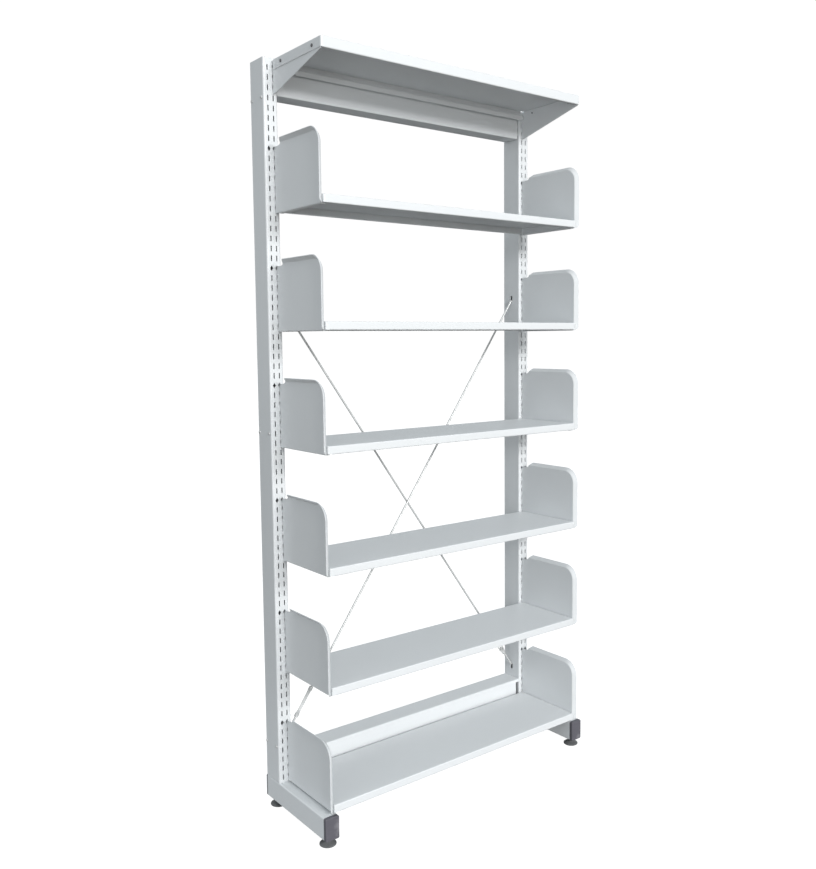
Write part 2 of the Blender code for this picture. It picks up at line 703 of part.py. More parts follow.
def gusset_outline():
    """Side outline of a canopy gusset as (y, z) points."""
    top = CANOPY_TOP - SHELF_SHEET - GUSSET_TOP_GAP
    points = [(BRACKET_REAR, top)]
    for index, kind in enumerate(("tooth", "plain", "tooth")):
        middle = SLOT_PITCH * (TOP_TIER_SLOT - index)
        points += hook_outline(middle, kind)
    points[-1] = (FIT, points[-1][1])
    foot = middle - GUSSET_FOOT
    points += [(FIT, foot), (GUSSET_REAR_FOOT, foot)]
    points += [(GUSSET_FRONT, CANOPY_TOP - GUSSET_NOSE_DROP), (GUSSET_FRONT, top)]
    return [(-u, w) for u, w in points]


def screw_holes(across):
    """Round cutters along X at the canopy screw places, at each given x."""
    cutter = bmesh.new()
    reach = 2 * SHEET_PLATE
    for x in across:
        for u, drop in CANOPY_SCREW_AT:
            place = Matrix.Translation((x, -u, CANOPY_TOP - drop)) @ Matrix.Rotation(math.pi / 2, 4, "Y")
            turned([(SCREW_HOLE_RADIUS, -reach), (SCREW_HOLE_RADIUS, reach)], ROD_SIDES, place, cutter)
    return cutter


def add_screw(name, grip, material, location, side, parent=None):
    """Round-head screw that points outwards along X, with its head on the surface at its origin."""
    profile = (
        (SCREW_SHANK_RADIUS, -grip - SCREW_BEYOND),
        (SCREW_SHANK_RADIUS, FIT),
        (SCREW_HEAD_RADIUS, FIT),
        (SCREW_HEAD_RADIUS, FIT + SCREW_RIM),
        (SCREW_CROWN_RADIUS, FIT + SCREW_HEAD_HEIGHT),
    )
    turn = Vector((side, 0, 0)).to_track_quat("Z", "Y")
    add_object(name, turned(profile, ROD_SIDES), material, location, parent, turn)


def build_canopy(paint, zinc):
    hung = add_empty("canopy_hang", (0, COLUMN_FACE, tier_height(0)))
    canopy = add_object("canopy", canopy_surface(), paint, (0, 0, 0), hung)
    add_sheet(canopy, SHELF_SHEET)
    add_boolean(canopy, screw_holes((-canopy_end(), canopy_end())), "DIFFERENCE", "holes")
    grip = SHELF_SHEET + FIT + SHEET_PLATE
    for label, side in SIDES:
        plate = prism_x(gusset_outline(), -SHEET_PLATE / 2, SHEET_PLATE / 2)
        gusset = add_object(f"canopy_gusset_{label}", plate, paint, (side * ROW_X, 0, 0), hung)
        add_boolean(gusset, screw_holes((0,)), "DIFFERENCE", "holes")
        for place, (u, drop) in zip(("rear", "front"), CANOPY_SCREW_AT):
            at = (side * canopy_end(), -u, CANOPY_TOP - drop)
            add_screw(f"canopy_screw_{place}_{label}", grip, zinc, at, side, hung)


def build_side_screws(zinc):
    """Three pairs of screws on the outer side of each column."""
    for label, side in SIDES:
        for level, height in zip(("top", "middle", "bottom"), SIDE_SCREW_HEIGHTS):
            for end, depth in (("front", SIDE_SCREW_FRONT), ("rear", SIDE_SCREW_REAR)):
                at = (side * OUTER_SIDE_X, COLUMN_FACE + depth, height)
                add_screw(f"side_screw_{label}_{level}_{end}", COLUMN_WALL, zinc, at, side)


def build_brace(name, side, zinc):
    """One diagonal: hooked into the upper slot on the given side and the lower slot on the other."""
    out = INNER_SIDE_X - BRACE_HOOK_OUT
    back = INNER_SIDE_X + BRACE_HOOK_BACK
    seat = BRACE_SLOT_HEIGHT / 2 - ROD_RADIUS - BRACE_SEAT
    upper_z = BRACE_SLOT_UPPER - seat
    lower_z = BRACE_SLOT_LOWER + seat
    end_y = BRACE_Y - side * BRACE_END_OFFSET
    crossing = Vector((0, BRACE_Y - side * BRACE_CROSS_OFFSET, (upper_z + lower_z) / 2))
    upper = Vector((side * out, end_y, upper_z))
    lower = Vector((-side * out, end_y, lower_z))
    along = (crossing - lower).normalized()
    middle = lower + along * TURNBUCKLE_FROM_END
    half_gap = along * (TURNBUCKLE_ROD_GAP / 2)
    upper_bend = Vector((side * back, end_y, upper_z))
    lower_bend = Vector((-side * back, end_y, lower_z))
    tip = Vector((0, 0, BRACE_HOOK_TIP))
    long_rod = [upper_bend - tip, upper_bend, upper, crossing, middle + half_gap]
    hook_rod = [middle - half_gap, lower, lower_bend, lower_bend + tip]
    for piece, path in (("rod", long_rod), ("hook", hook_rod)):
        local = [point - middle for point in path]
        add_object(f"brace_{piece}_{name}", swept(local, ROD_RADIUS, ROD_SIDES), zinc, middle)
    build_turnbuckle(name, middle, along, zinc)


def mirrored(quarter):
    """Closed outline from the points of its upper right quarter, listed downwards."""
    right = quarter + [(x, -z) for x, z in reversed(quarter)]
    return right + [(-x, z) for x, z in reversed(right)]


def build_turnbuckle(name, middle, along, zinc):
    """Turnbuckle body with its origin and local Z on the rod axis: a slotted plate with round end bosses."""
    half = TURNBUCKLE_LENGTH / 2
    neck = (TURNBUCKLE_NECK / 2, half - TURNBUCKLE_BOSS_STANDS)
    shoulder = (TURNBUCKLE_WIDTH / 2, half - TURNBUCKLE_SHOULDER)
    plate = prism_y(mirrored([neck, shoulder]), -TURNBUCKLE_THICK / 2, TURNBUCKLE_THICK / 2)
    turn = along.to_track_quat("Z", "X") @ Quaternion((0, 0, 1), math.radians(TURNBUCKLE_TURNS[name]))
    body = add_object(f"turnbuckle_{name}", plate, zinc, middle, rotation=turn)
    bosses = bmesh.new()
    for start in (-half, half - TURNBUCKLE_BOSS):
        ends = [(TURNBUCKLE_BOSS_RADIUS, start), (TURNBUCKLE_BOSS_RADIUS, start + TURNBUCKLE_BOSS)]
        turned(ends, LEVELLER_SIDES, into=bosses)
    add_boolean(body, bosses, "UNION", "bosses")
    slot_tip = (TURNBUCKLE_SLOT_TIP / 2, half - TURNBUCKLE_SLOT_END)
    slot_side = (TURNBUCKLE_SLOT / 2, half - TURNBUCKLE_SLOT_SHOULDER)
    slot = prism_y(mirrored([slot_tip, slot_side]), -TURNBUCKLE_THICK, TURNBUCKLE_THICK)
    add_boolean(body, slot, "DIFFERENCE", "slot")
    bore = ROD_RADIUS + FIT
    cutter = turned([(bore, -TURNBUCKLE_LENGTH), (bore, TURNBUCKLE_LENGTH)], ROD_SIDES)
    add_boolean(body, cutter, "DIFFERENCE", "bore")


def main():
    clear_scene()
    paint = make_material("light_grey_powder_coat", (0.78, 0.79, 0.80), 0.45, 0.0)
    plastic = make_material("dark_grey_plastic", (0.13, 0.13, 0.15), 0.50, 0.0)
    black = make_material("black_plastic", (0.02, 0.02, 0.02), 0.55, 0.0)
    zinc = make_material("zinc_plated_steel", (0.74, 0.75, 0.76), 0.35, 0.9)
    build_columns(paint)
    build_legs(paint)
    build_caps(plastic)
    build_levellers(black)
    build_beams(paint)
    build_tiers(paint)
    build_canopy(paint, zinc)
    build_side_screws(zinc)
    build_brace("front", 1, zinc)
    build_brace("rear", -1, zinc)


main()
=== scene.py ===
# %% [markdown]
# # A single-sided library rack
# Two slotted steel columns stand on legs. Six shelves and a canopy hook into the slots, and two crossed
# rods keep the frame square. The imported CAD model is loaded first: it holds every piece at its true size
# and place, so the finished pieces are fitted to it and nothing in it is moved.

# %% Load the CAD frame
import math

import bmesh
import bpy
from mathutils import Matrix, Quaternion, Vector


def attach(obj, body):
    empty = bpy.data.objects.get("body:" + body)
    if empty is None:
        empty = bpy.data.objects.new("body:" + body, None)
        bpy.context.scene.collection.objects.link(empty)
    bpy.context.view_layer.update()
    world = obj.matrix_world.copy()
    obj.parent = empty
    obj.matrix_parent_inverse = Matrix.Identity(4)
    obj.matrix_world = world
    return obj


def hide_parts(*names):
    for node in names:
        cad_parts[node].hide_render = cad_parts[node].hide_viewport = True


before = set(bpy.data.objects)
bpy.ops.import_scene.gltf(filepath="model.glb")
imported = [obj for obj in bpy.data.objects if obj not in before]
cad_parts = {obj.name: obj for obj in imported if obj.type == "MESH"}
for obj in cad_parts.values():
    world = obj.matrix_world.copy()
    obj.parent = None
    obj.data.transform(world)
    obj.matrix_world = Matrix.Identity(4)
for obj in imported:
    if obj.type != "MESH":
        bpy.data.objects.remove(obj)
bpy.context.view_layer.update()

# %% [markdown]
# ## Camera
# The photograph was taken from the left of the rack, a little above its middle. A camera could be aimed
# by hand with a constraint, but a fitted camera is known by its place and three angles, so its matrix is
# written out from those. The small shift puts the lens axis where it was in the photograph.

# %% Place the camera
CAMERA_PLACE = Vector((-1.5904, -2.0082, 1.2815))
CAMERA_TURN = math.radians(38.24)
CAMERA_DIP = math.radians(4.787)
CAMERA_ROLL = math.radians(-0.496)
SENSOR_HEIGHT = 36.0
LENS_LENGTH = 37.043
LENS_SHIFT = (-0.02412, -0.02407)

ahead = Vector((
    math.sin(CAMERA_TURN) * math.cos(CAMERA_DIP),
    math.cos(CAMERA_TURN) * math.cos(CAMERA_DIP),
    -math.sin(CAMERA_DIP),
))
level_right = Vector((math.cos(CAMERA_TURN), -math.sin(CAMERA_TURN), 0))
level_up = level_right.cross(ahead)
camera_right = math.cos(CAMERA_ROLL) * level_right + math.sin(CAMERA_ROLL) * level_up
camera_up = math.cos(CAMERA_ROLL) * level_up - math.sin(CAMERA_ROLL) * level_right

lens = bpy.data.cameras.new("photo_camera")
lens.sensor_fit = "VERTICAL"
lens.sensor_height = SENSOR_HEIGHT
lens.lens = LENS_LENGTH
lens.shift_x, lens.shift_y = LENS_SHIFT
camera = bpy.data.objects.new("photo_camera", lens)
turn = Matrix((camera_right, camera_up, -ahead)).transposed().to_4x4()
camera.matrix_world = Matrix.Translation(CAMERA_PLACE) @ turn
scene = bpy.context.scene
scene.collection.objects.link(camera)
scene.camera = camera
print("Camera at", [round(value, 3) for value in CAMERA_PLACE])

# %% [markdown]
# ## Node helper
# Finishes and repeated shapes are both built from nodes. Writing every node and link out would hide the
# idea, so one class wraps a socket and turns Python arithmetic into Math nodes, and one method adds any
# other node with its settings and the values or links of its sockets.

# %% Wrap sockets for arithmetic
class Wire:
    """One output socket. Arithmetic on it adds Math nodes to its tree."""

    def __init__(self, kit, socket):
        self.kit = kit
        self.socket = socket

    def __add__(self, other):
        return self.kit.math("ADD", self, other)

    def __radd__(self, other):
        return self.kit.math("ADD", other, self)

    def __sub__(self, other):
        return self.kit.math("SUBTRACT", self, other)

    def __rsub__(self, other):
        return self.kit.math("SUBTRACT", other, self)

    def __mul__(self, other):
        return self.kit.math("MULTIPLY", self, other)

    def __rmul__(self, other):
        return self.kit.math("MULTIPLY", other, self)


class NodeKit:
    """Adds nodes to one shader or geometry tree."""

    def __init__(self, tree):
        self.tree = tree

    def add(self, kind, settings=None, values=None, output=0):
        node = self.tree.nodes.new(kind)
        for name, setting in (settings or {}).items():
            setattr(node, name, setting)
        for name, value in (values or {}).items():
            self.give(node.inputs[name], value)
        return Wire(self, node.outputs[output])

    def give(self, socket, value):
        if isinstance(value, Wire):
            self.tree.links.new(value.socket, socket)
        else:
            socket.default_value = value

    def math(self, operation, first, second):
        return self.add("ShaderNodeMath", {"operation": operation}, {0: first, 1: second})


print("Node helper ready")

# %% [markdown]
# ## Floor, backdrop and light
# The rack was photographed against plain white. A bare white world would light it evenly from all sides,
# and then the folds would vanish. So the light comes from a dimmer world, a large soft lamp high in
# front, a weak warm one at eye level that reaches in under the canopy, and a weak cool one low on the
# left that lifts the sides. A dull floor sends a little light back to the undersides, and a brighter
# patch of it near the rack lifts the legs and the lowest brackets. The pale floor and the white dome are
# only there for the camera to see.

# %% Light the stage
scene.view_settings.view_transform = "Standard"
SKY = 0.58
SKY_COLOUR = (0.90, 0.965, 1.0, 1.0)
DOME_RADIUS = 70.0
DOME_GLOW = 1.02
# Finish, radius, level, paint, glow and warmth of each floor, and whether the camera or the light sees it
FLOORS = {
    "floor": ("pale_floor", 60.0, -0.0005, 0.25, 0.97, 0.0, True),
    "floor_bounce": ("grey_floor", 12.0, -0.001, 0.10, 0.0, 0.20, False),
    "near_bounce": ("bright_floor", 1.2, -0.0008, 0.38, 0.0, 0.0, False),
}
# Place, aim, width, height, watts and colour of each lamp
LAMPS = {
    "key_lamp": ((-0.70, -9.80, 4.30), (0, 0, 1.0), 3.6, 2.0, 798.0, (1.0, 1.0, 1.0)),
    "fill_lamp": ((-0.60, -9.00, 1.20), (0, 0, 1.2), 3.6, 1.2, 106.0, (1.0, 0.975, 0.93)),
    "side_lamp": ((-4.00, -1.50, 1.00), (-0.45, 0, 1.0), 1.6, 1.1, 27.0, (0.96, 0.98, 1.0)),
}

world = bpy.data.worlds.new("studio")
world.use_nodes = True
background = world.node_tree.nodes["Background"]
background.inputs["Color"].default_value = SKY_COLOUR
background.inputs["Strength"].default_value = SKY
scene.world = world


def stage_material(name, paint, glow, warmth=0.0):
    """Plain matt surface with some light of its own."""
    material = bpy.data.materials.new(name)
    material.use_nodes = True
    shader = material.node_tree.nodes["Principled BSDF"]
    shader.inputs["Base Color"].default_value = (paint, paint * (1 - warmth / 2), paint * (1 - warmth), 1)
    shader.inputs["Roughness"].default_value = 1.0
    shader.inputs["Specular IOR Level"].default_value = 0.0
    shader.inputs["Emission Color"].default_value = (1, 1, 1, 1)
    shader.inputs["Emission Strength"].default_value = glow
    return material


def stage_piece(name, shape, material, to_camera):
    """Adds a floor or a backdrop that either the camera or the light sees."""
    mesh = bpy.data.meshes.new(name)
    shape.to_mesh(mesh)
    shape.free()
    mesh.materials.append(material)
    piece = bpy.data.objects.new(name, mesh)
    scene.collection.objects.link(piece)
    piece.visible_camera = to_camera
    piece.visible_diffuse = not to_camera
    piece.visible_glossy = not to_camera
    piece.visible_transmission = not to_camera
    piece.visible_shadow = not to_camera


def disc(radius, level):
    shape = bmesh.new()
    bmesh.ops.create_circle(shape, cap_ends=True, segments=96, radius=radius)
    bmesh.ops.translate(shape, verts=shape.verts, vec=(0, 0, level))
    return shape


dome = bmesh.new()
bmesh.ops.create_uvsphere(dome, u_segments=48, v_segments=24, radius=DOME_RADIUS)
bmesh.ops.reverse_faces(dome, faces=dome.faces)
stage_piece("backdrop", dome, stage_material("white_backdrop", 0.0, DOME_GLOW), True)
for name, (finish, radius, level, paint, glow, warmth, to_camera) in FLOORS.items():
    stage_piece(name, disc(radius, level), stage_material(finish, paint, glow, warmth), to_camera)


def soft_lamp(name, place, aim, width, height, watts, colour):
    lamp = bpy.data.lights.new(name, "AREA")
    lamp.shape = "RECTANGLE"
    lamp.size = width
    lamp.size_y = height
    lamp.energy = watts
    lamp.color = colour
    holder = bpy.data.objects.new(name, lamp)
    holder.location = place
    holder.rotation_mode = "QUATERNION"
    holder.rotation_quaternion = (Vector(aim) - Vector(place)).to_track_quat("-Z", "Y")
    holder.visible_camera = False
    scene.collection.objects.link(holder)


for name, settings in LAMPS.items():
    soft_lamp(name, *settings)
print("Stage ready:", len(FLOORS), "floors and", len(LAMPS), "lamps")

# %% [markdown]
# ## Powder coat
# The sheet metal is powder coated in a light grey. The powder melts into a skin that is never quite flat:
# close up it has a fine ripple like orange peel, and its gloss wanders a little. A flat colour would look
# like paper, so three noises on Object coordinates give the ripple, the gloss and a faint cloudiness of
# the colour.

# %% Mix the powder coat
def new_finish(name):
    material = bpy.data.materials.new(name)
    material.use_nodes = True
    kit = NodeKit(material.node_tree)
    shader = material.node_tree.nodes["Principled BSDF"]
    place = kit.add("ShaderNodeTexCoord", output="Object")
    return material, kit, shader, place


def noise(kit, place, scale, detail=2.0):
    """Noise with about that many lumps to the metre."""
    return kit.add("ShaderNodeTexNoise", values={"Vector": place, "Scale": scale, "Detail": detail})


def blend(kit, factor, first, second):
    """Colour between two colours, each given by its parts or taken from a wire."""
    # A Mix node has a pair of sockets for each kind of value: 6 and 7 are colours, and output 2 their mix
    values = {0: factor}
    for socket, colour in ((6, first), (7, second)):
        values[socket] = colour if isinstance(colour, Wire) else (*colour, 1)
    return kit.add("ShaderNodeMix", {"data_type": "RGBA"}, values, output=2)


COAT_DARK = (0.700, 0.722, 0.735)
COAT_LIGHT = (0.755, 0.770, 0.780)

powder_coat, kit, shader, place = new_finish("powder_coat_light_grey")
ripple = noise(kit, place, scale=520.0, detail=1.0)
gloss = noise(kit, place, scale=60.0)
cloud = noise(kit, place, scale=2.6, detail=3.0)
tone = cloud * 0.75 + gloss * 0.25
kit.give(shader.inputs["Base Color"], blend(kit, tone, COAT_DARK, COAT_LIGHT))
kit.give(shader.inputs["Roughness"], gloss * 0.12 + 0.32)
peel = kit.add("ShaderNodeBump", values={"Strength": 0.22, "Distance": 0.00025, "Height": ripple})
kit.give(shader.inputs["Normal"], peel)
print("Made", powder_coat.name)

# %% [markdown]
# ## Zinc, screw steel and plastics
# Rods and turnbuckles are zinc plated: a pale metal whose brightness changes in small patches where the
# zinc crystals lie differently, and so are the screws in the columns. The canopy's screws are browned and
# dark. The leg caps are grey moulded plastic with a few pale, rougher patches at random, and the levelling
# feet are harder, darker plastic. Each has its own grain size, because that is what tells such parts apart
# by eye.

# %% Mix the metals and the plastics
PALE_PATCH_COLOUR = (0.42, 0.41, 0.43)


def plated_metal(name, dark, light, rough, metallic):
    """Plated steel with patches of crystal and fine scratches."""
    material, kit, shader, place = new_finish(name)
    crystal = noise(kit, place, scale=240.0, detail=3.0)
    streak = noise(kit, place, scale=900.0, detail=1.0)
    kit.give(shader.inputs["Base Color"], blend(kit, crystal, dark, light))
    kit.give(shader.inputs["Roughness"], crystal * 0.16 + streak * 0.10 + rough)
    kit.give(shader.inputs["Metallic"], metallic - streak * 0.2)
    scratch = kit.add("ShaderNodeBump", values={"Strength": 0.15, "Distance": 0.0001, "Height": streak})
    kit.give(shader.inputs["Normal"], scratch)
    return material


def moulded_plastic(name, dark, light, grain_scale, rough, patch_amount):
    """Moulded plastic with a fine mould grain, faint flow marks and pale, rougher patches at random."""
    material, kit, shader, place = new_finish(name)
    grain = noise(kit, place, grain_scale)
    flow = noise(kit, place, scale=38.0, detail=3.0)
    patch_noise = noise(kit, place, scale=26.0, detail=3.0)
    # Pale, rougher patches where this noise is high, at random over the surface
    pale_patch = kit.add("ShaderNodeMapRange", values={
        "Value": patch_noise, "From Min": 0.55, "From Max": 0.82, "To Min": 0.0, "To Max": patch_amount,
    })
    moulded = blend(kit, flow * 0.7 + grain * 0.3, dark, light)
    kit.give(shader.inputs["Base Color"], blend(kit, pale_patch, moulded, PALE_PATCH_COLOUR))
    kit.give(shader.inputs["Roughness"], flow * 0.16 + grain * 0.08 + pale_patch * 0.3 + rough)
    dimple = kit.add("ShaderNodeBump", values={"Strength": 0.35, "Distance": 0.0002, "Height": grain})
    kit.give(shader.inputs["Normal"], dimple)
    return material


zinc = plated_metal("zinc_plating", (0.56, 0.56, 0.545), (0.72, 0.73, 0.735), rough=0.34, metallic=0.50)
screw_steel = plated_metal(
    "browned_screw_steel", (0.15, 0.15, 0.15), (0.27, 0.27, 0.28), rough=0.30, metallic=0.90,
)
cap_plastic = moulded_plastic(
    "cap_plastic_grey", (0.088, 0.084, 0.100), (0.132, 0.127, 0.148),
    grain_scale=950.0, rough=0.30, patch_amount=0.55,
)
foot_plastic = moulded_plastic(
    "foot_plastic_black", (0.088, 0.090, 0.093), (0.152, 0.156, 0.159),
    grain_scale=700.0, rough=0.34, patch_amount=0.15,
)
print("Made", zinc.name, screw_steel.name, cap_plastic.name, foot_plastic.name)

# %% [markdown]
# ## From outlines to finished pieces
# Most pieces are rolled tube or folded sheet. A tube is a stack of loops skinned with faces. A folded
# sheet is drawn as its thin middle surface, with the bend radius in it, and Solidify gives it the
# thickness of the metal. Every piece ends as a plain mesh at the origin, then is hung on the body that
# carries it, and the CAD pieces that it stands for are hidden.

# %% Mesh helpers
FIT = 0.0003


def rounded_outline(width, height, radius, steps=6):
    """Rectangle with round corners about the origin, anticlockwise."""
    points = []
    for across, up, start in ((1, 1, 0), (-1, 1, 90), (-1, -1, 180), (1, -1, 270)):
        for step in range(steps + 1):
            angle = math.radians(start + 90 * step / steps)
            x = across * (width / 2 - radius) + radius * math.cos(angle)
            y = up * (height / 2 - radius) + radius * math.sin(angle)
            points.append((x, y))
    return points


def skin(shape, rows, closed=True):
    """Faces between neighbouring rows of vertices."""
    for low, high in zip(rows, rows[1:]):
        for here in range(len(low) if closed else len(low) - 1):
            there = (here + 1) % len(low)
            shape.faces.new((low[here], low[there], high[there], high[here]))


def stack(loops, ends=True, ring=False, shape=None):
    """Skins equal loops of points, with end caps, or as a ring that comes back to the first loop."""
    shape = shape or bmesh.new()
    rows = [[shape.verts.new(point) for point in loop] for loop in loops]
    skin(shape, rows + rows[:1] if ring else rows)
    if ends and not ring:
        shape.faces.new(rows[0][::-1])
        shape.faces.new(rows[-1])
    return shape


def tube_loops(width, height, radius, wall, start, end):
    """Loops of an open tube, along its outside and back along its inside, as (across, along, up) points."""
    loops = []
    for inset, along in ((0, start), (0, end), (wall, end), (wall, start)):
        outline = rounded_outline(width - 2 * inset, height - 2 * inset, radius - inset)
        loops.append([(across, along, up) for across, up in outline])
    return loops


def add_object(name, mesh):
    """Object at the origin that shows a mesh."""
    piece = bpy.data.objects.new(name, mesh)
    scene.collection.objects.link(piece)
    return piece


def to_piece(name, shape):
    """Object at the origin from a shape, with its faces pointing outwards."""
    bmesh.ops.recalc_face_normals(shape, faces=shape.faces)
    mesh = bpy.data.meshes.new(name)
    shape.to_mesh(mesh)
    shape.free()
    return add_object(name, mesh)


def copy_of(pattern, name, level):
    """Copy of a finished pattern, raised to a level."""
    mesh = pattern.data.copy()
    mesh.transform(Matrix.Translation((0, 0, level)))
    return add_object(name, mesh)


def settle(piece):
    """Turns the modifiers' result into the piece's plain mesh."""
    graph = bpy.context.evaluated_depsgraph_get()
    plain = bpy.data.meshes.new_from_object(piece.evaluated_get(graph), depsgraph=graph)
    drawn = piece.data
    piece.modifiers.clear()
    piece.data = plain
    plain.name = piece.name
    bpy.data.meshes.remove(drawn)
    return piece


def cut(piece, shape, operation="DIFFERENCE", crossing=False):
    """Cuts a shape out of a piece, or adds it with UNION. Set crossing where the shape's parts cross."""
    helper = to_piece(f"{piece.name}_helper", shape)
    boolean = piece.modifiers.new("cut", "BOOLEAN")
    boolean.operation = operation
    boolean.solver = "EXACT"
    boolean.use_self = crossing
    boolean.object = helper
    settle(piece)
    bpy.data.objects.remove(helper)


def thicken(piece, thickness):
    """Gives a folded surface its metal thickness, half on each side."""
    sheet = piece.modifiers.new("sheet", "SOLIDIFY")
    sheet.thickness = thickness
    sheet.offset = 0
    sheet.use_even_offset = True
    sheet.use_quality_normals = True


def ease_edges(piece, width, segments=2):
    """Takes the knife edge off, so that a line of light shows along it."""
    edge = piece.modifiers.new("edges", "BEVEL")
    edge.width = width
    edge.segments = segments
    edge.limit_method = "ANGLE"
    edge.angle_limit = math.radians(50)


def smooth(piece, degrees=32):
    """Smooth over bends, sharp at edges, with flat faces kept flat."""
    piece.data.shade_smooth()
    piece.data.set_sharp_from_angle(angle=math.radians(degrees))
    normals = piece.modifiers.new("flat_faces", "WEIGHTED_NORMAL")
    normals.keep_sharp = True
    return settle(piece)


def finish_piece(piece, finish, body, slot, *nodes):
    """Gives the finish and the carrying body, and hides the CAD pieces that this one stands for."""
    if not piece.data.materials:
        piece.data.materials.append(finish)
    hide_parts(*nodes)
    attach(piece, body)
    return piece


SIDES = (("left", -1), ("right", 1))
print("Mesh helpers ready")

# %% [markdown]
# ## Columns
# Each column is a rolled tube, 40 by 72 mm, closed at the top. Its front face carries two rows of punched
# slots, one every 25.4 mm, with a diamond hole in each row where a shelf starts. Here the plain tube is
# made, and the openings on its inner side, for the brace hooks and the beam tabs, are cut from it.

# %% Roll the column tubes
COLUMN_X = 0.450
COLUMN_FACE = 0.083
COLUMN_WIDTH = 0.040
COLUMN_DEPTH = 0.072
COLUMN_BOTTOM = 0.0803
COLUMN_TOP = 2.0
COLUMN_ROUND = 0.0045
WALL = 0.002
SLOT_PITCH = 0.0254
SLOT_HEIGHT = 0.0146
BRACE_Y = COLUMN_FACE + COLUMN_DEPTH / 2
BRACE_LEVELS = (0.186, 1.407)
BEAM_TAB_Y = (0.090, 0.147)
# Width, height and corner of the openings in a column's inner side
BRACE_SLOT = (0.009, 0.020, 0.0015)
TAB_SLOT = (0.0026, SLOT_HEIGHT, 0.0004)
# Underside of each beam, X of its web ends and how far its tabs are above the underside
BEAMS = {
    "top": (1.909, 0.4277, (0.0099, 0.0099 + SLOT_PITCH)),
    "bottom": (COLUMN_BOTTOM, 0.4207, (0.0070,)),
}


def column_tube():
    """Tube with a closed, slightly rounded top, about the column's own middle line."""
    middle = COLUMN_FACE + COLUMN_DEPTH / 2
    edge = 0.0012
    stations = [(2 * WALL, COLUMN_ROUND - WALL, z) for z in (COLUMN_TOP - WALL, COLUMN_BOTTOM)]
    stations += [(0, COLUMN_ROUND, COLUMN_BOTTOM)]
    for degrees in (0, 30, 60, 90):
        angle = math.radians(degrees)
        inset = 2 * edge * (1 - math.cos(angle))
        stations.append((inset, COLUMN_ROUND - inset / 2, COLUMN_TOP - edge * (1 - math.sin(angle))))
    loops = []
    for inset, radius, z in stations:
        outline = rounded_outline(COLUMN_WIDTH - inset, COLUMN_DEPTH - inset, radius)
        loops.append([(x, middle + y, z) for x, y in outline])
    return stack(loops)


def side_openings(side):
    """Cutters for the brace hooks and the beam tabs in a column's inner side."""
    shape = bmesh.new()
    inner = -side * COLUMN_WIDTH / 2
    openings = [(BRACE_Y, z, BRACE_SLOT) for z in BRACE_LEVELS]
    for underside, _, rises in BEAMS.values():
        for rise in rises:
            middle = underside + rise - FIT + SLOT_HEIGHT / 2
            openings += [(y, middle, TAB_SLOT) for y in BEAM_TAB_Y]
    for y, z, (width, height, radius) in openings:
        outline = rounded_outline(width, height, radius, steps=3)
        loops = [[(inner + x, y + a, z + b) for a, b in outline] for x in (-2 * WALL, 2 * WALL)]
        stack(loops, shape=shape)
    return shape


columns = {}
for label, side in SIDES:
    column = to_piece(f"rack_column_{label}", column_tube())
    cut(column, side_openings(side))
    column.data.transform(Matrix.Translation((side * COLUMN_X, 0, 0)))
    columns[label] = column
print("Columns rolled:", len(columns))

# %% [markdown]
# ## Punched slots
# The slots follow a rule, so Geometry Nodes punch them: a line of points down the face, one cutter on
# each point, and one Boolean for the whole row. Every twelfth point gets a diamond instead. Changing the
# pitch or the slot size is then one number, where a hand-cut mesh would have to be drawn again.

# %% Build the punching tree
SLOT_TOP = 1.9752
SLOT_COUNT = 75
TIER_STEP = 12
FIRST_TIER = 8
ROW_OFFSET = 0.0077


def new_tree(name, inputs):
    """Geometry tree with a named input for each size. Returns the tree, its kit, inputs and identifiers."""
    tree = bpy.data.node_groups.new(name, "GeometryNodeTree")
    tree.interface.new_socket("Geometry", in_out="INPUT", socket_type="NodeSocketGeometry")
    identifiers = {}
    for label, kind in inputs.items():
        identifiers[label] = tree.interface.new_socket(label, in_out="INPUT", socket_type=kind).identifier
    tree.interface.new_socket("Geometry", in_out="OUTPUT", socket_type="NodeSocketGeometry")
    kit = NodeKit(tree)
    start = tree.nodes.new("NodeGroupInput")
    wires = {socket.name: Wire(kit, socket) for socket in start.outputs if socket.name}
    return tree, kit, wires, identifiers


def end_tree(kit, geometry, finish):
    """Closes a tree with real geometry and its material."""
    real = kit.add("GeometryNodeRealizeInstances", values={"Geometry": geometry})
    painted = kit.add("GeometryNodeSetMaterial", values={"Geometry": real, "Material": finish})
    end = kit.tree.nodes.new("NodeGroupOutput")
    kit.give(end.inputs[0], painted)


def use_tree(piece, tree, identifiers, values):
    """Runs a tree on a piece with these sizes and keeps the plain result."""
    modifier = piece.modifiers.new(tree.name, "NODES")
    modifier.node_group = tree
    for label, value in values.items():
        modifier[identifiers[label]] = value
    return settle(piece)


NUMBER = "NodeSocketFloat"
punch_inputs = {"Column X": NUMBER, "Face Y": NUMBER, "Top": NUMBER, "Pitch": NUMBER}
punch_inputs |= {"Count": "NodeSocketInt"}
punch_inputs |= {"Row offset": NUMBER, "Slot width": NUMBER, "Slot height": NUMBER, "Corner": NUMBER}
punch_inputs |= {"Diamond width": NUMBER, "Diamond height": NUMBER, "Depth": NUMBER}
punch, kit, size, punch_ids = new_tree("punched_slots", punch_inputs)
through = kit.add("GeometryNodeCurvePrimitiveLine", values={
    "Start": kit.add("ShaderNodeCombineXYZ", values={"Y": 0.0 - size["Depth"]}),
    "End": kit.add("ShaderNodeCombineXYZ", values={"Y": size["Depth"]}),
})
slot_outline = kit.add("GeometryNodeCurvePrimitiveQuadrilateral", {"mode": "RECTANGLE"}, {
    "Width": size["Slot width"], "Height": size["Slot height"],
})
slot_outline = kit.add("GeometryNodeFilletCurve", {"mode": "POLY"}, {
    "Curve": slot_outline, "Radius": size["Corner"], "Count": 2,
})
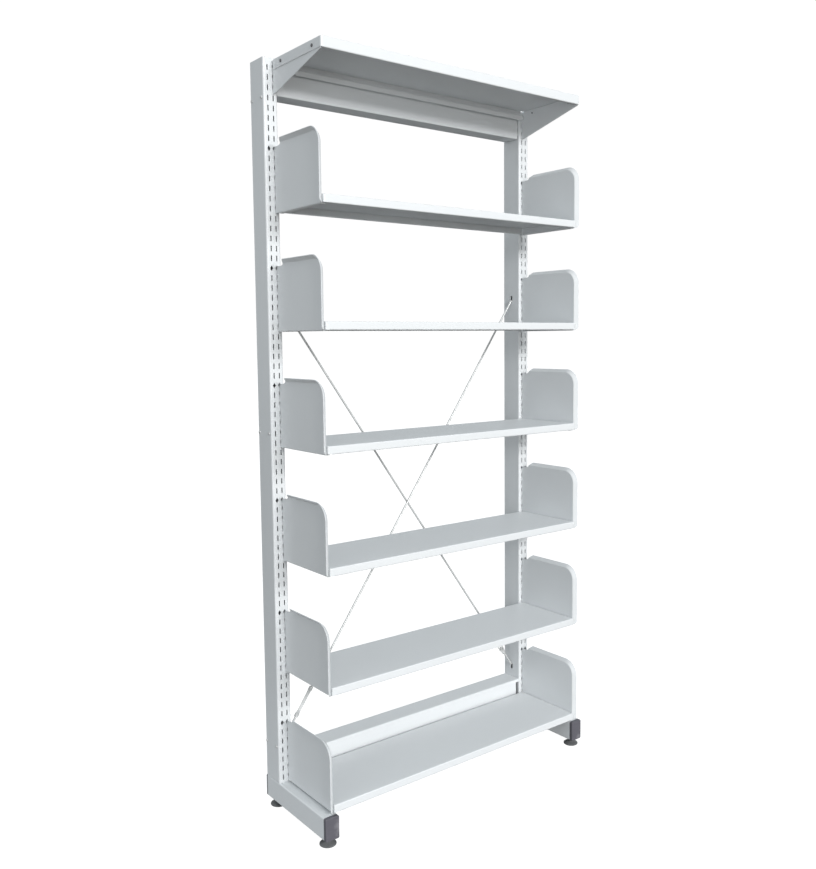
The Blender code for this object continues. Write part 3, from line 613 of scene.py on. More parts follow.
diamond_outline = kit.add("GeometryNodeCurvePrimitiveQuadrilateral", {"mode": "KITE"}, {
    "Width": size["Diamond width"], "Bottom Height": size["Diamond height"] * 0.5,
    "Top Height": size["Diamond height"] * 0.5,
})
cutters = []
for outline in (slot_outline, diamond_outline):
    cutters.append(kit.add("GeometryNodeCurveToMesh", values={
        "Curve": through, "Profile Curve": outline, "Fill Caps": True,
    }))
number = kit.add("GeometryNodeInputIndex")
at_tier = kit.math("MODULO", number, float(TIER_STEP))
# Sockets 2 and 3 of a Compare node are its whole numbers
same = {"data_type": "INT", "operation": "EQUAL"}
is_diamond = kit.add("FunctionNodeCompare", same, {2: at_tier, 3: FIRST_TIER})
is_slot = kit.add("FunctionNodeBooleanMath", {"operation": "NOT"}, {0: is_diamond})
step = kit.add("ShaderNodeCombineXYZ", values={"Z": 0.0 - size["Pitch"]})
rows = []
for direction in (-1.0, 1.0):
    first = kit.add("ShaderNodeCombineXYZ", values={
        "X": size["Column X"] + size["Row offset"] * direction, "Y": size["Face Y"], "Z": size["Top"],
    })
    line = kit.add("GeometryNodeMeshLine", {"mode": "OFFSET"}, {
        "Count": size["Count"], "Start Location": first, "Offset": step,
    })
    for cutter, wanted in zip(cutters, (is_slot, is_diamond)):
        rows.append(kit.add("GeometryNodeInstanceOnPoints", values={
            "Points": line, "Selection": wanted, "Instance": cutter,
        }))
all_rows = kit.add("GeometryNodeJoinGeometry", values={"Geometry": rows[0]})
for row in rows[1:]:
    kit.give(all_rows.socket.node.inputs["Geometry"], row)
punches = kit.add("GeometryNodeRealizeInstances", values={"Geometry": all_rows})
punched = kit.add("GeometryNodeMeshBoolean", {"operation": "DIFFERENCE", "solver": "EXACT"}, {
    "Mesh 1": size["Geometry"], "Mesh 2": punches,
})
end_tree(kit, punched, powder_coat)
print("Punching tree has", len(punch.nodes), "nodes")

# %% [markdown]
# The same tree runs once on each column, and only the column's place differs. The sizes are handed to it
# here, so that the tree itself holds none and could punch any other face.

# %% Punch both columns
punch_sizes = {"Face Y": COLUMN_FACE, "Top": SLOT_TOP, "Pitch": SLOT_PITCH, "Count": SLOT_COUNT}
punch_sizes |= {"Row offset": ROW_OFFSET, "Slot width": 0.0032, "Slot height": SLOT_HEIGHT}
punch_sizes |= {"Corner": 0.0007, "Diamond width": 0.0094, "Diamond height": 0.0154, "Depth": 0.004}
for label, side in SIDES:
    sizes = {"Column X": side * COLUMN_X} | punch_sizes
    column = use_tree(columns[label], punch, punch_ids, sizes)
    smooth(column)
    finish_piece(column, powder_coat, "frame", "powder_coat", f"column_{label}")
    print(column.name, "has", len(column.data.polygons), "faces")

# %% [markdown]
# ## Legs and caps
# A leg is a box tube that runs from under the column to the front. Moulded caps plug its two ends: a deep
# one at the front, with a rounded rim that catches the light, and a thin one at the back. Both are stacks
# of loops, because the size of a loop along the tube is all that changes.

# %% Legs
LEG_WIDTH = 0.040
LEG_HEIGHT = 0.060
LEG_MIDDLE = 0.050
LEG_FRONT = -0.1435
LEG_REAR = 0.1512
LEG_ROUND = 0.004
FOOT_Y = {"front": -0.130, "rear": 0.127}
STUD_HOLE = 0.0044

for label, side in SIDES:
    tube = tube_loops(LEG_WIDTH, LEG_HEIGHT, LEG_ROUND, WALL, LEG_FRONT, LEG_REAR)
    wall_loops = [[(side * COLUMN_X + x, y, LEG_MIDDLE + z) for x, y, z in loop] for loop in tube]
    leg = to_piece(f"rack_leg_{label}", stack(wall_loops, ring=True))
    holes = bmesh.new()
    for y in FOOT_Y.values():
        drill = {"radius1": STUD_HOLE, "radius2": STUD_HOLE, "depth": 4 * WALL, "segments": 24}
        drill["matrix"] = Matrix.Translation((side * COLUMN_X, y, LEG_MIDDLE - LEG_HEIGHT / 2))
        bmesh.ops.create_cone(holes, cap_ends=True, **drill)
    cut(leg, holes)
    smooth(leg)
    finish_piece(leg, powder_coat, "frame", "powder_coat", f"leg_{label}")
print("Legs made")

# %% [markdown]
# A cap is one moulding: a plug inside the tube and a block outside it. Its loops are drawn from the plug's
# inner end outwards, and the last ones shrink along a quarter circle, which rounds the rim. A bevel could
# round it too, but here the rim's size is one number.

# %% Leg caps
PLUG_HEIGHT = 0.034
PLUG_ROUND = 0.002
# How far each loop of a plug is drawn in, and how deep it sits in the tube
PLUG_LOOPS = ((0.0012, 0.012), (0.0, 0.0105), (0.0, 0.0))
LEAST_ROUND = 0.001
# Seat, outward direction, depth and rim radius of the caps at each end
CAP_ENDS = {
    "front": (LEG_FRONT - FIT, -1, 0.0105, 0.0016),
    "rear": (LEG_REAR + FIT, 1, 0.0055, 0.0008),
}


def cap_shape(x, seat, outward, depth, rim):
    """Cap with a rounded rim outside the tube and a plug inside it, above the foot's stud."""
    plug_middle = LEG_MIDDLE + LEG_HEIGHT / 2 - WALL - FIT - PLUG_HEIGHT / 2
    plug_width = LEG_WIDTH - 2 * WALL - 2 * FIT
    stations = []
    for inset, sunk in PLUG_LOOPS:
        outline = rounded_outline(plug_width - 2 * inset, PLUG_HEIGHT - 2 * inset, PLUG_ROUND)
        stations.append((outline, plug_middle, seat - outward * sunk))
    stations.append((rounded_outline(LEG_WIDTH, LEG_HEIGHT, LEG_ROUND), LEG_MIDDLE, seat))
    for degrees in (0, 22.5, 45, 67.5, 90):
        angle = math.radians(degrees)
        inset = rim * (1 - math.cos(angle))
        reach = depth - rim * (1 - math.sin(angle))
        corner = max(LEG_ROUND - inset, LEAST_ROUND)
        outline = rounded_outline(LEG_WIDTH - 2 * inset, LEG_HEIGHT - 2 * inset, corner)
        stations.append((outline, LEG_MIDDLE, seat + outward * reach))
    loops = []
    for outline, level, y in stations:
        loops.append([(x + a, y, level + b) for a, b in outline])
    return stack(loops)


for label, side in SIDES:
    for end, sizes in CAP_ENDS.items():
        cap = to_piece(f"rack_leg_cap_{end}_{label}", cap_shape(side * COLUMN_X, *sizes))
        smooth(cap)
        finish_piece(cap, cap_plastic, "frame", "dark_plastic", f"leg_cap_{end}_{label}")
print("Caps made")

# %% [markdown]
# ## Levelling feet
# Each leg stands on two moulded feet with a threaded stud, which screw in and out of the leg. A foot is
# turned, so a profile is spun round its axis: a flat pad with a soft rim, a cone, and the stud with its
# thread ridges. The hexagon for the spanner is a second stack with six sides.

# %% Feet
# Radius and height of each ring of the pad and of the hexagon above it
PAD_RINGS = [
    (0.0185, 0.0), (0.0206, 0.0002), (0.0217, 0.0010), (0.0220, 0.0022), (0.0218, 0.0036),
    (0.0209, 0.0044), (0.0196, 0.0050), (0.0140, 0.0080), (0.0112, 0.0100), (0.0100, 0.0112),
]
HEXAGON_RINGS = [(0.0080, 0.0108), (0.0087, 0.0112), (0.0087, 0.0148), (0.0078, 0.0155)]
STUD_FROM = 0.0150
STUD_ROOT = 0.0036
STUD_CREST = 0.0040
STUD_ENDS = [(STUD_ROOT, 0.0350), (0.0028, 0.0360)]
RIDGES_FROM = 0.0156
RIDGES_TO = 0.0345
THREAD_PITCH = 0.00125


def turned(profile, sides, place, shape=None):
    """Spins (radius, height) points round the local Z axis."""
    loops = []
    for radius, height in profile:
        turns = [math.tau * (step + 0.5) / sides for step in range(sides)]
        loops.append([place @ Vector((radius * math.cos(a), radius * math.sin(a), height)) for a in turns])
    return stack(loops, shape=shape)


def foot_shape(place):
    """Pad, hexagon and threaded stud of one foot."""
    shape = turned(PAD_RINGS, 48, place)
    turned(HEXAGON_RINGS, 6, place, shape)
    thread = [(STUD_ROOT, STUD_FROM)]
    height = RIDGES_FROM
    while height < RIDGES_TO:
        thread += [(STUD_ROOT, height), (STUD_CREST, height + 0.0004)]
        thread += [(STUD_CREST, height + 0.0006), (STUD_ROOT, height + 0.0010)]
        height += THREAD_PITCH
    return turned(thread + STUD_ENDS, 20, place, shape)


for label, side in SIDES:
    for end, y in FOOT_Y.items():
        place = Matrix.Translation((side * COLUMN_X, y, 0))
        foot = to_piece(f"rack_foot_{end}_{label}", foot_shape(place))
        smooth(foot, 40)
        name = f"leveller_{end}_{label}"
        finish_piece(foot, foot_plastic, name, "black_plastic", name)
print("Feet made")

# %% [markdown]
# ## Beams
# Two beams tie the columns together at the top and at the floor. Each is a box with a wider folded sheet
# over it, and hooked tabs at the ends. The folded sheet is a bent line swept across, so a helper first
# rounds the corners of the line, as a press brake does, and another sweeps it.

# %% Beams
def eased(points, radius, closed=False, steps=4):
    """Rounds the corners of a line of (a, b) points with arcs."""
    result = []
    for index, point in enumerate(points):
        if not closed and index in (0, len(points) - 1):
            result.append(tuple(point))
            continue
        here = Vector(point)
        back = Vector(points[index - 1]) - here
        forth = Vector(points[(index + 1) % len(points)]) - here
        opening = back.angle(forth)
        if opening > math.radians(176):
            result.append(tuple(point))
            continue
        reach = min(radius / math.tan(opening / 2), 0.48 * back.length, 0.48 * forth.length)
        back.normalize()
        forth.normalize()
        centre = here + (back + forth).normalized() * (reach / math.cos(opening / 2))
        spoke = here + back * reach - centre
        last = here + forth * reach - centre
        for step in range(steps + 1):
            result.append(tuple(centre + spoke.slerp(last, step / steps).normalized() * spoke.length))
    return result


def fold_strip(shape, profile, start, end):
    """Sweeps a bent (y, z) line along X as an open sheet."""
    rows = [[shape.verts.new((x, y, z)) for y, z in profile] for x in (start, end)]
    skin(shape, rows, closed=False)
    return rows


BEAM_HEIGHT = 0.0702
BEAM_END = 0.4297
BEAM_FRONT = 0.084
BEAM_REAR = 0.153
BEAM_SHEET = 0.002
BEAM_LIP = 0.009
BEAM_BEND = 0.0025
WEB_DEPTH = 0.059
WEB_ROUND = 0.003
TAB_RUN = 0.010
TAB_NECK_X = 0.4323
TAB_TIP_X = 0.4368
TAB_HEIGHT = 0.008
TAB_TOOTH = 0.005
TAB_HALF = 0.0008
TAB_ROUND = 0.0012


def beam_tabs(shape, web_end, bottom):
    """One hooked tab on each web at each end."""
    root = web_end - TAB_RUN
    top = bottom + TAB_HEIGHT
    tooth = bottom - TAB_TOOTH
    outline = [(root, bottom), (TAB_NECK_X, bottom), (TAB_NECK_X, tooth)]
    outline += [(TAB_TIP_X, tooth), (TAB_TIP_X, top), (root, top)]
    outline = eased(outline, TAB_ROUND, closed=True)
    for _, side in SIDES:
        for y in BEAM_TAB_Y:
            loops = [[(side * x, y + thick, z) for x, z in outline] for thick in (-TAB_HALF, TAB_HALF)]
            stack(loops, shape=shape)


for label, (underside, web_end, rises) in BEAMS.items():
    lip = underside + BEAM_HEIGHT - BEAM_LIP
    top = underside + BEAM_HEIGHT - BEAM_SHEET / 2
    front = BEAM_FRONT + BEAM_SHEET / 2
    rear = BEAM_REAR - BEAM_SHEET / 2
    profile = eased([(front, lip), (front, top), (rear, top), (rear, lip)], BEAM_BEND, steps=5)
    cover_shape = bmesh.new()
    fold_strip(cover_shape, profile, -BEAM_END, BEAM_END)
    beam = to_piece(f"rack_beam_{label}", cover_shape)
    thicken(beam, BEAM_SHEET)
    settle(beam)
    box_height = BEAM_HEIGHT - BEAM_SHEET / 2
    box_middle = Vector((0, (BEAM_FRONT + BEAM_REAR) / 2, underside + box_height / 2))
    tube = tube_loops(WEB_DEPTH, box_height, WEB_ROUND, BEAM_SHEET, -web_end, web_end)
    loops = [[box_middle + Vector((x, y, z)) for y, x, z in loop] for loop in tube]
    web_shape = stack(loops, ring=True)
    for rise in rises:
        beam_tabs(web_shape, web_end, underside + rise)
    bmesh.ops.recalc_face_normals(web_shape, faces=web_shape.faces)
    web_shape.from_mesh(beam.data)
    web_shape.to_mesh(beam.data)
    web_shape.free()
    smooth(beam)
    finish_piece(beam, powder_coat, "frame", "powder_coat", f"beam_{label}")
print("Beams made")

# %% [markdown]
# ## Hooks and shelf brackets
# A bracket is a 2 mm plate. Its rear edge has a hook for every slot it passes, its top and front edge is
# bent outwards into a flared rim that keeps books from catching, and its foot is folded inwards to carry
# the shelf. It is drawn once as a middle surface in forward and upward distances from its diamond hole,
# thickened, and copied to every tier.

# %% Bracket outline
ROW_X = 0.4423
PLATE = 0.002
REAR_EDGE = 0.0032
FLANGE_LEVEL = -0.1638
HOOK_COUNT = 7
HOOK_TOP = 0.0006
HOOK_IN_DIAMOND = 0.0057
HOOK_REACH = 0.0032
HOOK_ROUND = 0.0009
TOOTH_REACH = 0.0046
TOOTH_NECK = 0.0024
TOOTH_DROP = 0.0055


def hook(middle, kind):
    """Points of one hook on a rear edge, from top to bottom, forward of the column face."""
    top = middle - HOOK_TOP
    bottom = middle - HOOK_IN_DIAMOND if kind == "diamond" else middle - SLOT_HEIGHT / 2 + FIT
    if kind != "tooth":
        return [(REAR_EDGE, top), (-HOOK_REACH, top), (-HOOK_REACH, bottom), (REAR_EDGE, bottom)]
    tip = bottom - TOOTH_DROP
    points = [(REAR_EDGE, top), (-TOOTH_REACH, top), (-TOOTH_REACH, tip), (-TOOTH_NECK, tip)]
    return points + [(-TOOTH_NECK, bottom), (REAR_EDGE, bottom)]


RIM = 0.009
FLARE = 0.010
RIM_BEND = 0.0025
RIM_TOP = 0.0208
RIM_FRONT = 0.2345
RIM_CORNER = 0.044
RIM_SHARES = (0.45, 0.62, 0.76, 0.87, 0.95, 1.0)
# How much shorter the rim is at its rear and at its foot, where it flares and where its round end curls in
RIM_REAR_CUT = 0.010
RIM_REAR_TUCK = 0.002
RIM_FOOT_CUT = 0.004
RIM_FOOT_TUCK = 0.006
NOTCH_FRONT = 0.032
NOTCH_FLOOR = 0.0048
NOTCH_ROUND = 0.018


def rim_profile():
    """Section of the rim as (distance inside the outline, distance outwards): a small bend, then a flat."""
    tilt = math.atan2(FLARE, RIM)
    middle = RIM + RIM_BEND * math.tan(tilt / 2)
    points = []
    for step in range(5):
        angle = tilt * step / 4
        points.append((middle - RIM_BEND * math.sin(angle), RIM_BEND * (1 - math.cos(angle))))
    for share in RIM_SHARES:
        points.append((RIM * (1 - share), FLARE * share))
    return points


def rim_path(inset):
    """Rim at a distance inside the outline, along the top, round the corner and down. Its ends are round."""
    flared = max(0.0, 1 - inset / RIM)
    curl = max(0.0, (flared - RIM_SHARES[0]) / (1 - RIM_SHARES[0]))
    tuck = 1 - math.sqrt(max(0.0, 1 - curl * curl))
    points = [(NOTCH_FRONT + RIM_REAR_CUT * flared + RIM_REAR_TUCK * tuck, RIM_TOP - inset)]
    for step in range(25):
        angle = math.radians(90 - 90 * step / 24)
        reach = RIM_CORNER - inset
        along = RIM_FRONT - RIM_CORNER + reach * math.cos(angle)
        points.append((along, RIM_TOP - RIM_CORNER + reach * math.sin(angle)))
    return points + [(RIM_FRONT - inset, FLANGE_LEVEL + RIM_FOOT_CUT * flared + RIM_FOOT_TUCK * tuck)]


def rear_edge():
    """Notch behind the rim, then the hooks down to the foot."""
    points = []
    high = RIM_TOP - rim_profile()[0][0]
    for step in range(1, 11):
        angle = math.radians(90 * step / 10)
        along = NOTCH_FRONT - NOTCH_ROUND * (1 - math.cos(angle))
        points.append((along, high - (high - NOTCH_FLOOR) * math.sin(angle)))
    hooks = [(REAR_EDGE, NOTCH_FLOOR)]
    for number in range(HOOK_COUNT):
        kind = "diamond" if number == 0 else ("tooth" if number % 2 else "plain")
        hooks += hook(-SLOT_PITCH * number, kind)
    hooks[-1] = (FIT, hooks[-1][1])
    return points + eased(hooks + [(FIT, FLANGE_LEVEL)], HOOK_ROUND, steps=2)


print("Rear edge has", len(rear_edge()), "points")

# %% [markdown]
# The plate is filled between the rim, the rear edge and the foot. The rim is skinned along its path and
# the foot is folded down in a few steps. Beside the foot a narrow relief is cut, as on real sheet, where
# a bend that ends in the middle of an edge would tear it.

# %% Press the brackets
FOOT_FOLD = 0.0026
FOOT_ENDS = (0.014, 0.222)
FOOT_WIDTH = 0.014
RELIEF = 0.0004


def bend_steps(radius):
    """Steps round a right-angled bend: how far each has gone ahead, and how far aside."""
    angles = [math.radians(degrees) for degrees in (22.5, 45, 67.5, 90)]
    return [(radius * math.sin(angle), radius * (1 - math.cos(angle))) for angle in angles]


def bracket_sheet(side):
    """Middle surface of one bracket: rim, plate and foot."""
    shape = bmesh.new()

    def at(along, up, out=0.0):
        return shape.verts.new((side * (ROW_X + out), COLUMN_FACE - along, up))

    rims = []
    for inset, out in rim_profile():
        rims.append([at(along, up, out) for along, up in rim_path(inset)])
    skin(shape, rims, closed=False)
    fold_top = FLANGE_LEVEL + FOOT_FOLD
    rear, front = FOOT_ENDS
    foot = [at(rear - RELIEF, FLANGE_LEVEL), at(rear - RELIEF, fold_top), at(rear, fold_top)]
    foot += [at(front, fold_top), at(front + RELIEF, fold_top), at(front + RELIEF, FLANGE_LEVEL)]
    shape.faces.new(rims[0][::-1] + [at(along, up) for along, up in rear_edge()] + foot)
    fold = [foot[2:4]]
    for ahead, aside in bend_steps(FOOT_FOLD):
        fold.append([at(along, fold_top - ahead, -aside) for along in FOOT_ENDS])
    fold.append([at(along, FLANGE_LEVEL, -FOOT_WIDTH) for along in FOOT_ENDS])
    skin(shape, fold, closed=False)
    return shape


TIER_LEVELS = [SLOT_TOP - SLOT_PITCH * (FIRST_TIER + TIER_STEP * tier) for tier in range(6)]
for label, side in SIDES:
    pattern = to_piece(f"bracket_pattern_{label}", bracket_sheet(side))
    thicken(pattern, PLATE)
    settle(pattern)
    smooth(pattern)
    for number, level in enumerate(TIER_LEVELS, 1):
        bracket = copy_of(pattern, f"rack_bracket_{label}_{number}", level)
        name = f"bracket_{label}_{number}"
        finish_piece(bracket, powder_coat, name, "powder_coat", name)
    bpy.data.objects.remove(pattern)
print("Brackets made:", 2 * len(TIER_LEVELS))

# %% [markdown]
# ## Shelves
# A shelf is a tray folded from one sheet: a flat top, four flanges and a return lip under the front and
# the back. Its bends are round, and so are its welded corners, so the surface is a stack of rounded
# rectangles that grows out and down from the flat top.

# %% Fold the shelves
SHELF_SHEET = 0.0015
SHELF_SIDE_GAP = 0.0008
SHELF_FRONT = 0.2325
SHELF_REAR = 0.006
SHELF_HEIGHT = 0.021
SHELF_LIP = 0.012
SHELF_TOP = -0.1415
BEND = 0.0022
SHEET_CORNER = 0.0008


class Tray:
    """Rounded rectangles of a shelf tray, with marks where its lips begin and end."""

    half = ROW_X - PLATE / 2 - SHELF_SIDE_GAP - SHELF_SHEET / 2
    front = COLUMN_FACE - SHELF_FRONT + SHELF_SHEET / 2
    rear = COLUMN_FACE - SHELF_REAR - SHELF_SHEET / 2
    top = -SHELF_SHEET / 2
    low = -SHELF_HEIGHT + SHELF_SHEET / 2
    mark = half - SHELF_LIP

    def loop(self, out):
        """Points round the tray when it has grown out from the flat by this much."""
        right = self.half - BEND + out
        front = self.front + BEND - out
        rear = self.rear - BEND + out
        corner = SHEET_CORNER + out
        marks = (-self.mark - RELIEF, -self.mark, self.mark, self.mark + RELIEF)
        points = [(x, front) for x in marks]
        for x, y, start in ((right, front, -90), (right, rear, 0), (-right, rear, 90), (-right, front, 180)):
            middle_x = x - math.copysign(corner, x)
            middle_y = y + corner if y == front else y - corner
            for step in range(5):
                angle = math.radians(start + 22.5 * step)
                points.append((middle_x + corner * math.cos(angle), middle_y + corner * math.sin(angle)))
            if start == 0:
                points += [(x, rear) for x in marks[::-1]]
        return points

    def sheet(self):
        """Middle surface of the tray: flat top, bends, flanges and lips."""
        shape = bmesh.new()
        rows = [[shape.verts.new((x, y, self.top)) for x, y in self.loop(0.0)]]
        shape.faces.new(rows[0])
        for ahead, aside in bend_steps(BEND):
            rows.append([shape.verts.new((x, y, self.top - aside)) for x, y in self.loop(ahead)])
        edge = self.loop(BEND)
        rows.append([shape.verts.new((x, y, self.low + BEND)) for x, y in edge])
        skin(shape, rows)
        hem = rows[-1]
        # Point of the loop where each lip starts and the way it folds, and the edges that have no foot
        lips = {1: 1, 15: -1}
        bare = {0, 2, 14, 16} | set(lips)
        feet = {}
        for here in range(len(edge)):
            there = (here + 1) % len(edge)
            if here in bare:
                continue
            for corner in (here, there):
                feet[corner] = feet.get(corner) or shape.verts.new((*edge[corner], self.low))
            shape.faces.new((hem[here], hem[there], feet[there], feet[here]))
        for here, inward in lips.items():
            ends = (here, here + 1)
            lip = [[hem[end] for end in ends]]
            for ahead, aside in bend_steps(BEND) + [(BEND, SHELF_LIP)]:
                y = edge[here][1] + inward * aside
                z = self.low + BEND - ahead
                lip.append([shape.verts.new((edge[end][0], y, z)) for end in ends])
            skin(shape, lip, closed=False)
        return shape


tray = to_piece("shelf_pattern", Tray().sheet())
thicken(tray, SHELF_SHEET)
settle(tray)
smooth(tray)
for number, level in enumerate(TIER_LEVELS, 1):
    shelf = copy_of(tray, f"rack_shelf_{number}", level + SHELF_TOP)
    finish_piece(shelf, powder_coat, f"shelf_{number}", "powder_coat", f"shelf_{number}")
bpy.data.objects.remove(tray)
print("Shelves made:", len(TIER_LEVELS))

# %% [markdown]
# ## Canopy
# The canopy is a shallow roof over the top shelf. Its front and ends are folded down, the front has a
# return lip, and the back is folded down with a step towards the front, which stiffens the long edge.
# Above the step it is cut short at both ends to clear the columns' corners. The ends hide the tops of two
# triangular gussets that hook into the columns.

# %% Fold the canopy
CANOPY_REACH = 0.240
CANOPY_FLANGE = 0.027
CANOPY_LIP = 0.010
CANOPY_REAR_GAP = 0.010
BACK_GAP = 0.003
BACK_FLAP = 0.003
BACK_STEP_DROP = 0.0165
BACK_DROP = 0.031
BACK_BEND = 0.002
CANOPY_TOP = 1.995
CANOPY_END = ROW_X + PLATE / 2 + FIT + SHELF_SHEET
CANOPY_FRONT = COLUMN_FACE - CANOPY_REACH + SHELF_SHEET / 2
CANOPY_REAR = COLUMN_FACE - CANOPY_REAR_GAP - SHELF_SHEET / 2
CANOPY_LOW = CANOPY_TOP - CANOPY_FLANGE + SHELF_SHEET / 2
BACK_HALF = ROW_X - PLATE / 2 - 0.0035
FOLD_HALF = BACK_HALF - 0.0060
LIP_HALF = BACK_HALF - 0.0018


def canopy_edge(out):
    """Points round the two ends and the front when the sheet has grown out by this much."""
    end = CANOPY_END - SHELF_SHEET / 2 - BEND + out
    front = CANOPY_FRONT + BEND - out
    corner = SHEET_CORNER + out
    points = [(-end, CANOPY_REAR)]
    for x, start in ((-end, 180), (end, 270)):
        middle = x - math.copysign(corner, x)
        for step in range(5):
            angle = math.radians(start + 22.5 * step)
            points.append((middle + corner * math.cos(angle), front + corner + corner * math.sin(angle)))
        if start == 180:
            points += [(x, front) for x in (-LIP_HALF - RELIEF, -LIP_HALF, LIP_HALF, LIP_HALF + RELIEF)]
    return points + [(end, CANOPY_REAR)]


def canopy_sheet():
    """Middle surface of the canopy: top, ends, front with its lip, and the stepped back."""
    shape = bmesh.new()
    top = CANOPY_TOP - SHELF_SHEET / 2
    rows = [[shape.verts.new((x, y, top)) for x, y in canopy_edge(0.0)]]
    for ahead, aside in bend_steps(BEND):
        rows.append([shape.verts.new((x, y, top - aside)) for x, y in canopy_edge(ahead)])
    edge = canopy_edge(BEND)
    rows.append([shape.verts.new((x, y, CANOPY_LOW + BEND)) for x, y in edge])
    skin(shape, rows, closed=False)
    hem = rows[-1]
    # Point of the edge where the lip starts: the front's two marks come after the rear end and a corner
    lip_at = 7
    feet = {}
    for here in range(len(edge) - 1):
        if here in (lip_at - 1, lip_at, lip_at + 1):
            continue
        for corner in (here, here + 1):
            feet[corner] = feet.get(corner) or shape.verts.new((*edge[corner], CANOPY_LOW))
        shape.faces.new((hem[here], hem[here + 1], feet[here + 1], feet[here]))
    lip = [hem[lip_at:lip_at + 2]]
    for ahead, aside in bend_steps(BEND) + [(BEND, CANOPY_LIP)]:
        level = CANOPY_LOW + BEND - ahead
        lip.append([shape.verts.new((x, CANOPY_FRONT + aside, level)) for x in (-LIP_HALF, LIP_HALF)])
    skin(shape, lip, closed=False)
    back = COLUMN_FACE - BACK_GAP - SHELF_SHEET / 2
    step_at = CANOPY_TOP - BACK_STEP_DROP
    profile = [(back - BACK_FLAP, top), (back, top), (back, step_at), (CANOPY_REAR, step_at)]
    profile = eased(profile + [(CANOPY_REAR, CANOPY_TOP - BACK_DROP)], BACK_BEND)
    left_back, right_back = fold_strip(shape, profile, -FOLD_HALF, FOLD_HALF)
    corners = []
    for strip, end in ((right_back, BACK_HALF), (left_back, -BACK_HALF)):
        upper, lower = [shape.verts.new((end, y, z)) for y, z in profile[-2:]]
        shape.faces.new((strip[-2], strip[-1], lower, upper))
        corners.append([shape.verts.new((end, y, top)) for y in (CANOPY_REAR, profile[0][0])] + [strip[0]])
    shape.faces.new(rows[0] + corners[0] + corners[1][::-1])
    return shape


canopy = to_piece("rack_canopy", canopy_sheet())
thicken(canopy, SHELF_SHEET)
settle(canopy)
smooth(canopy)
finish_piece(canopy, powder_coat, "canopy", "powder_coat", "canopy")
print("Canopy has", len(canopy.data.polygons), "faces")

# %% [markdown]
# A gusset is a flat plate that hooks into the column like a bracket, with three hooks in place of seven.
# Its outline is all that needs drawing, and the hooks come from the same helper, so both fit the slots.

# %% Cut the gussets
GUSSET_GAP = 0.0005
GUSSET_FOOT = 0.0149
GUSSET_FOOT_FRONT = 0.012
GUSSET_FRONT = 0.236
GUSSET_NOSE = 0.029
GUSSET_ROUND = 0.0012


def gusset_outline():
    """Side outline as forward and upward distances: hooks at the back, slope under the front."""
    top = CANOPY_TOP - SHELF_SHEET - GUSSET_GAP
    points = [(REAR_EDGE, top)]
    for number, kind in enumerate(("tooth", "plain", "tooth")):
        middle = SLOT_TOP - SLOT_PITCH * number
        points += hook(middle, kind)
    foot = middle - GUSSET_FOOT
    points[-1] = (FIT, points[-1][1])
    points += [(FIT, foot), (GUSSET_FOOT_FRONT, foot)]
    points += [(GUSSET_FRONT, CANOPY_TOP - GUSSET_NOSE), (GUSSET_FRONT, top)]
    return eased(points, GUSSET_ROUND, closed=True, steps=2)


for label, side in SIDES:
    faces = []
    for thick in (-PLATE / 2, PLATE / 2):
        faces.append([(side * ROW_X + thick, COLUMN_FACE - along, up) for along, up in gusset_outline()])
    gusset = to_piece(f"rack_gusset_{label}", stack(faces))
    ease_edges(gusset, 0.0002, 1)
    settle(gusset)
    smooth(gusset)
    finish_piece(gusset, powder_coat, "canopy", "powder_coat", f"canopy_gusset_{label}")
print("Gussets made")

# %% [markdown]
# ## Screws
# Pan-head screws hold the canopy to its gussets, and three pairs sit in the outer side of each column,
# ready for an end panel. One screw is modelled, with its domed head and cross recess. Geometry Nodes put
# a copy on every point and turn it to face outwards, each at its own angle, as screws end up when they
# are driven by hand.

# %% Model one screw
SHANK_RADIUS = 0.0021
HEAD_RADIUS = 0.0042
HEAD_SIDE = 0.0008
HEAD_DOME = 0.0017
RECESS_LONG = 0.0022
RECESS_THIN = 0.00045
# How wide the recess is at its floor and at its mouth, and how high they are above the seat
RECESS_LOOPS = ((0.55, 0.0009), (1.0, 0.0032))


def screw_shape(grip):
    """Shank that reaches through the grip, and a domed head."""
    profile = [(0.0014, -grip - 0.003), (SHANK_RADIUS, -grip - 0.0024), (SHANK_RADIUS, FIT)]
    profile += [(0.0040, FIT), (HEAD_RADIUS, FIT + 0.0002)]
    for degrees in (0, 18, 36, 54, 72, 86):
        angle = math.radians(degrees)
        profile.append((HEAD_RADIUS * math.cos(angle), FIT + HEAD_SIDE + HEAD_DOME * math.sin(angle)))
    return turned(profile, 20, Matrix.Identity(4))


def recess_shape():
    """Two crossed wedges for the cross recess."""
    shape = bmesh.new()
    for wide, deep in ((RECESS_LONG, RECESS_THIN), (RECESS_THIN, RECESS_LONG)):
        corners = [(wide, deep), (-wide, deep), (-wide, -deep), (wide, -deep)]
        loops = [[(share * x, share * y, FIT + z) for x, y in corners] for share, z in RECESS_LOOPS]
        stack(loops, shape=shape)
    return shape


def make_screw(name, grip):
    screw = to_piece(name, screw_shape(grip))
    cut(screw, recess_shape(), crossing=True)
    return smooth(screw)


print("Screw heads are", round(2000 * HEAD_RADIUS, 1), "mm wide")

# %% [markdown]
# Each point carries the direction that its screw faces, and the tree turns the copy to it. A fixed seed
# gives every screw its own angle, and the same one at each run.

# %% Drive the screws
SCREW_SEED = 4
SIDE_LEVELS = {"top": 1.900, "middle": 1.036, "bottom": 0.181}
SIDE_DEPTHS = {"front": 0.0105, "rear": 0.0635}
# How far each canopy screw is ahead of the columns and below the top
CANOPY_SCREWS = {"rear": (0.048, 0.0135), "front": (0.200, 0.0150)}

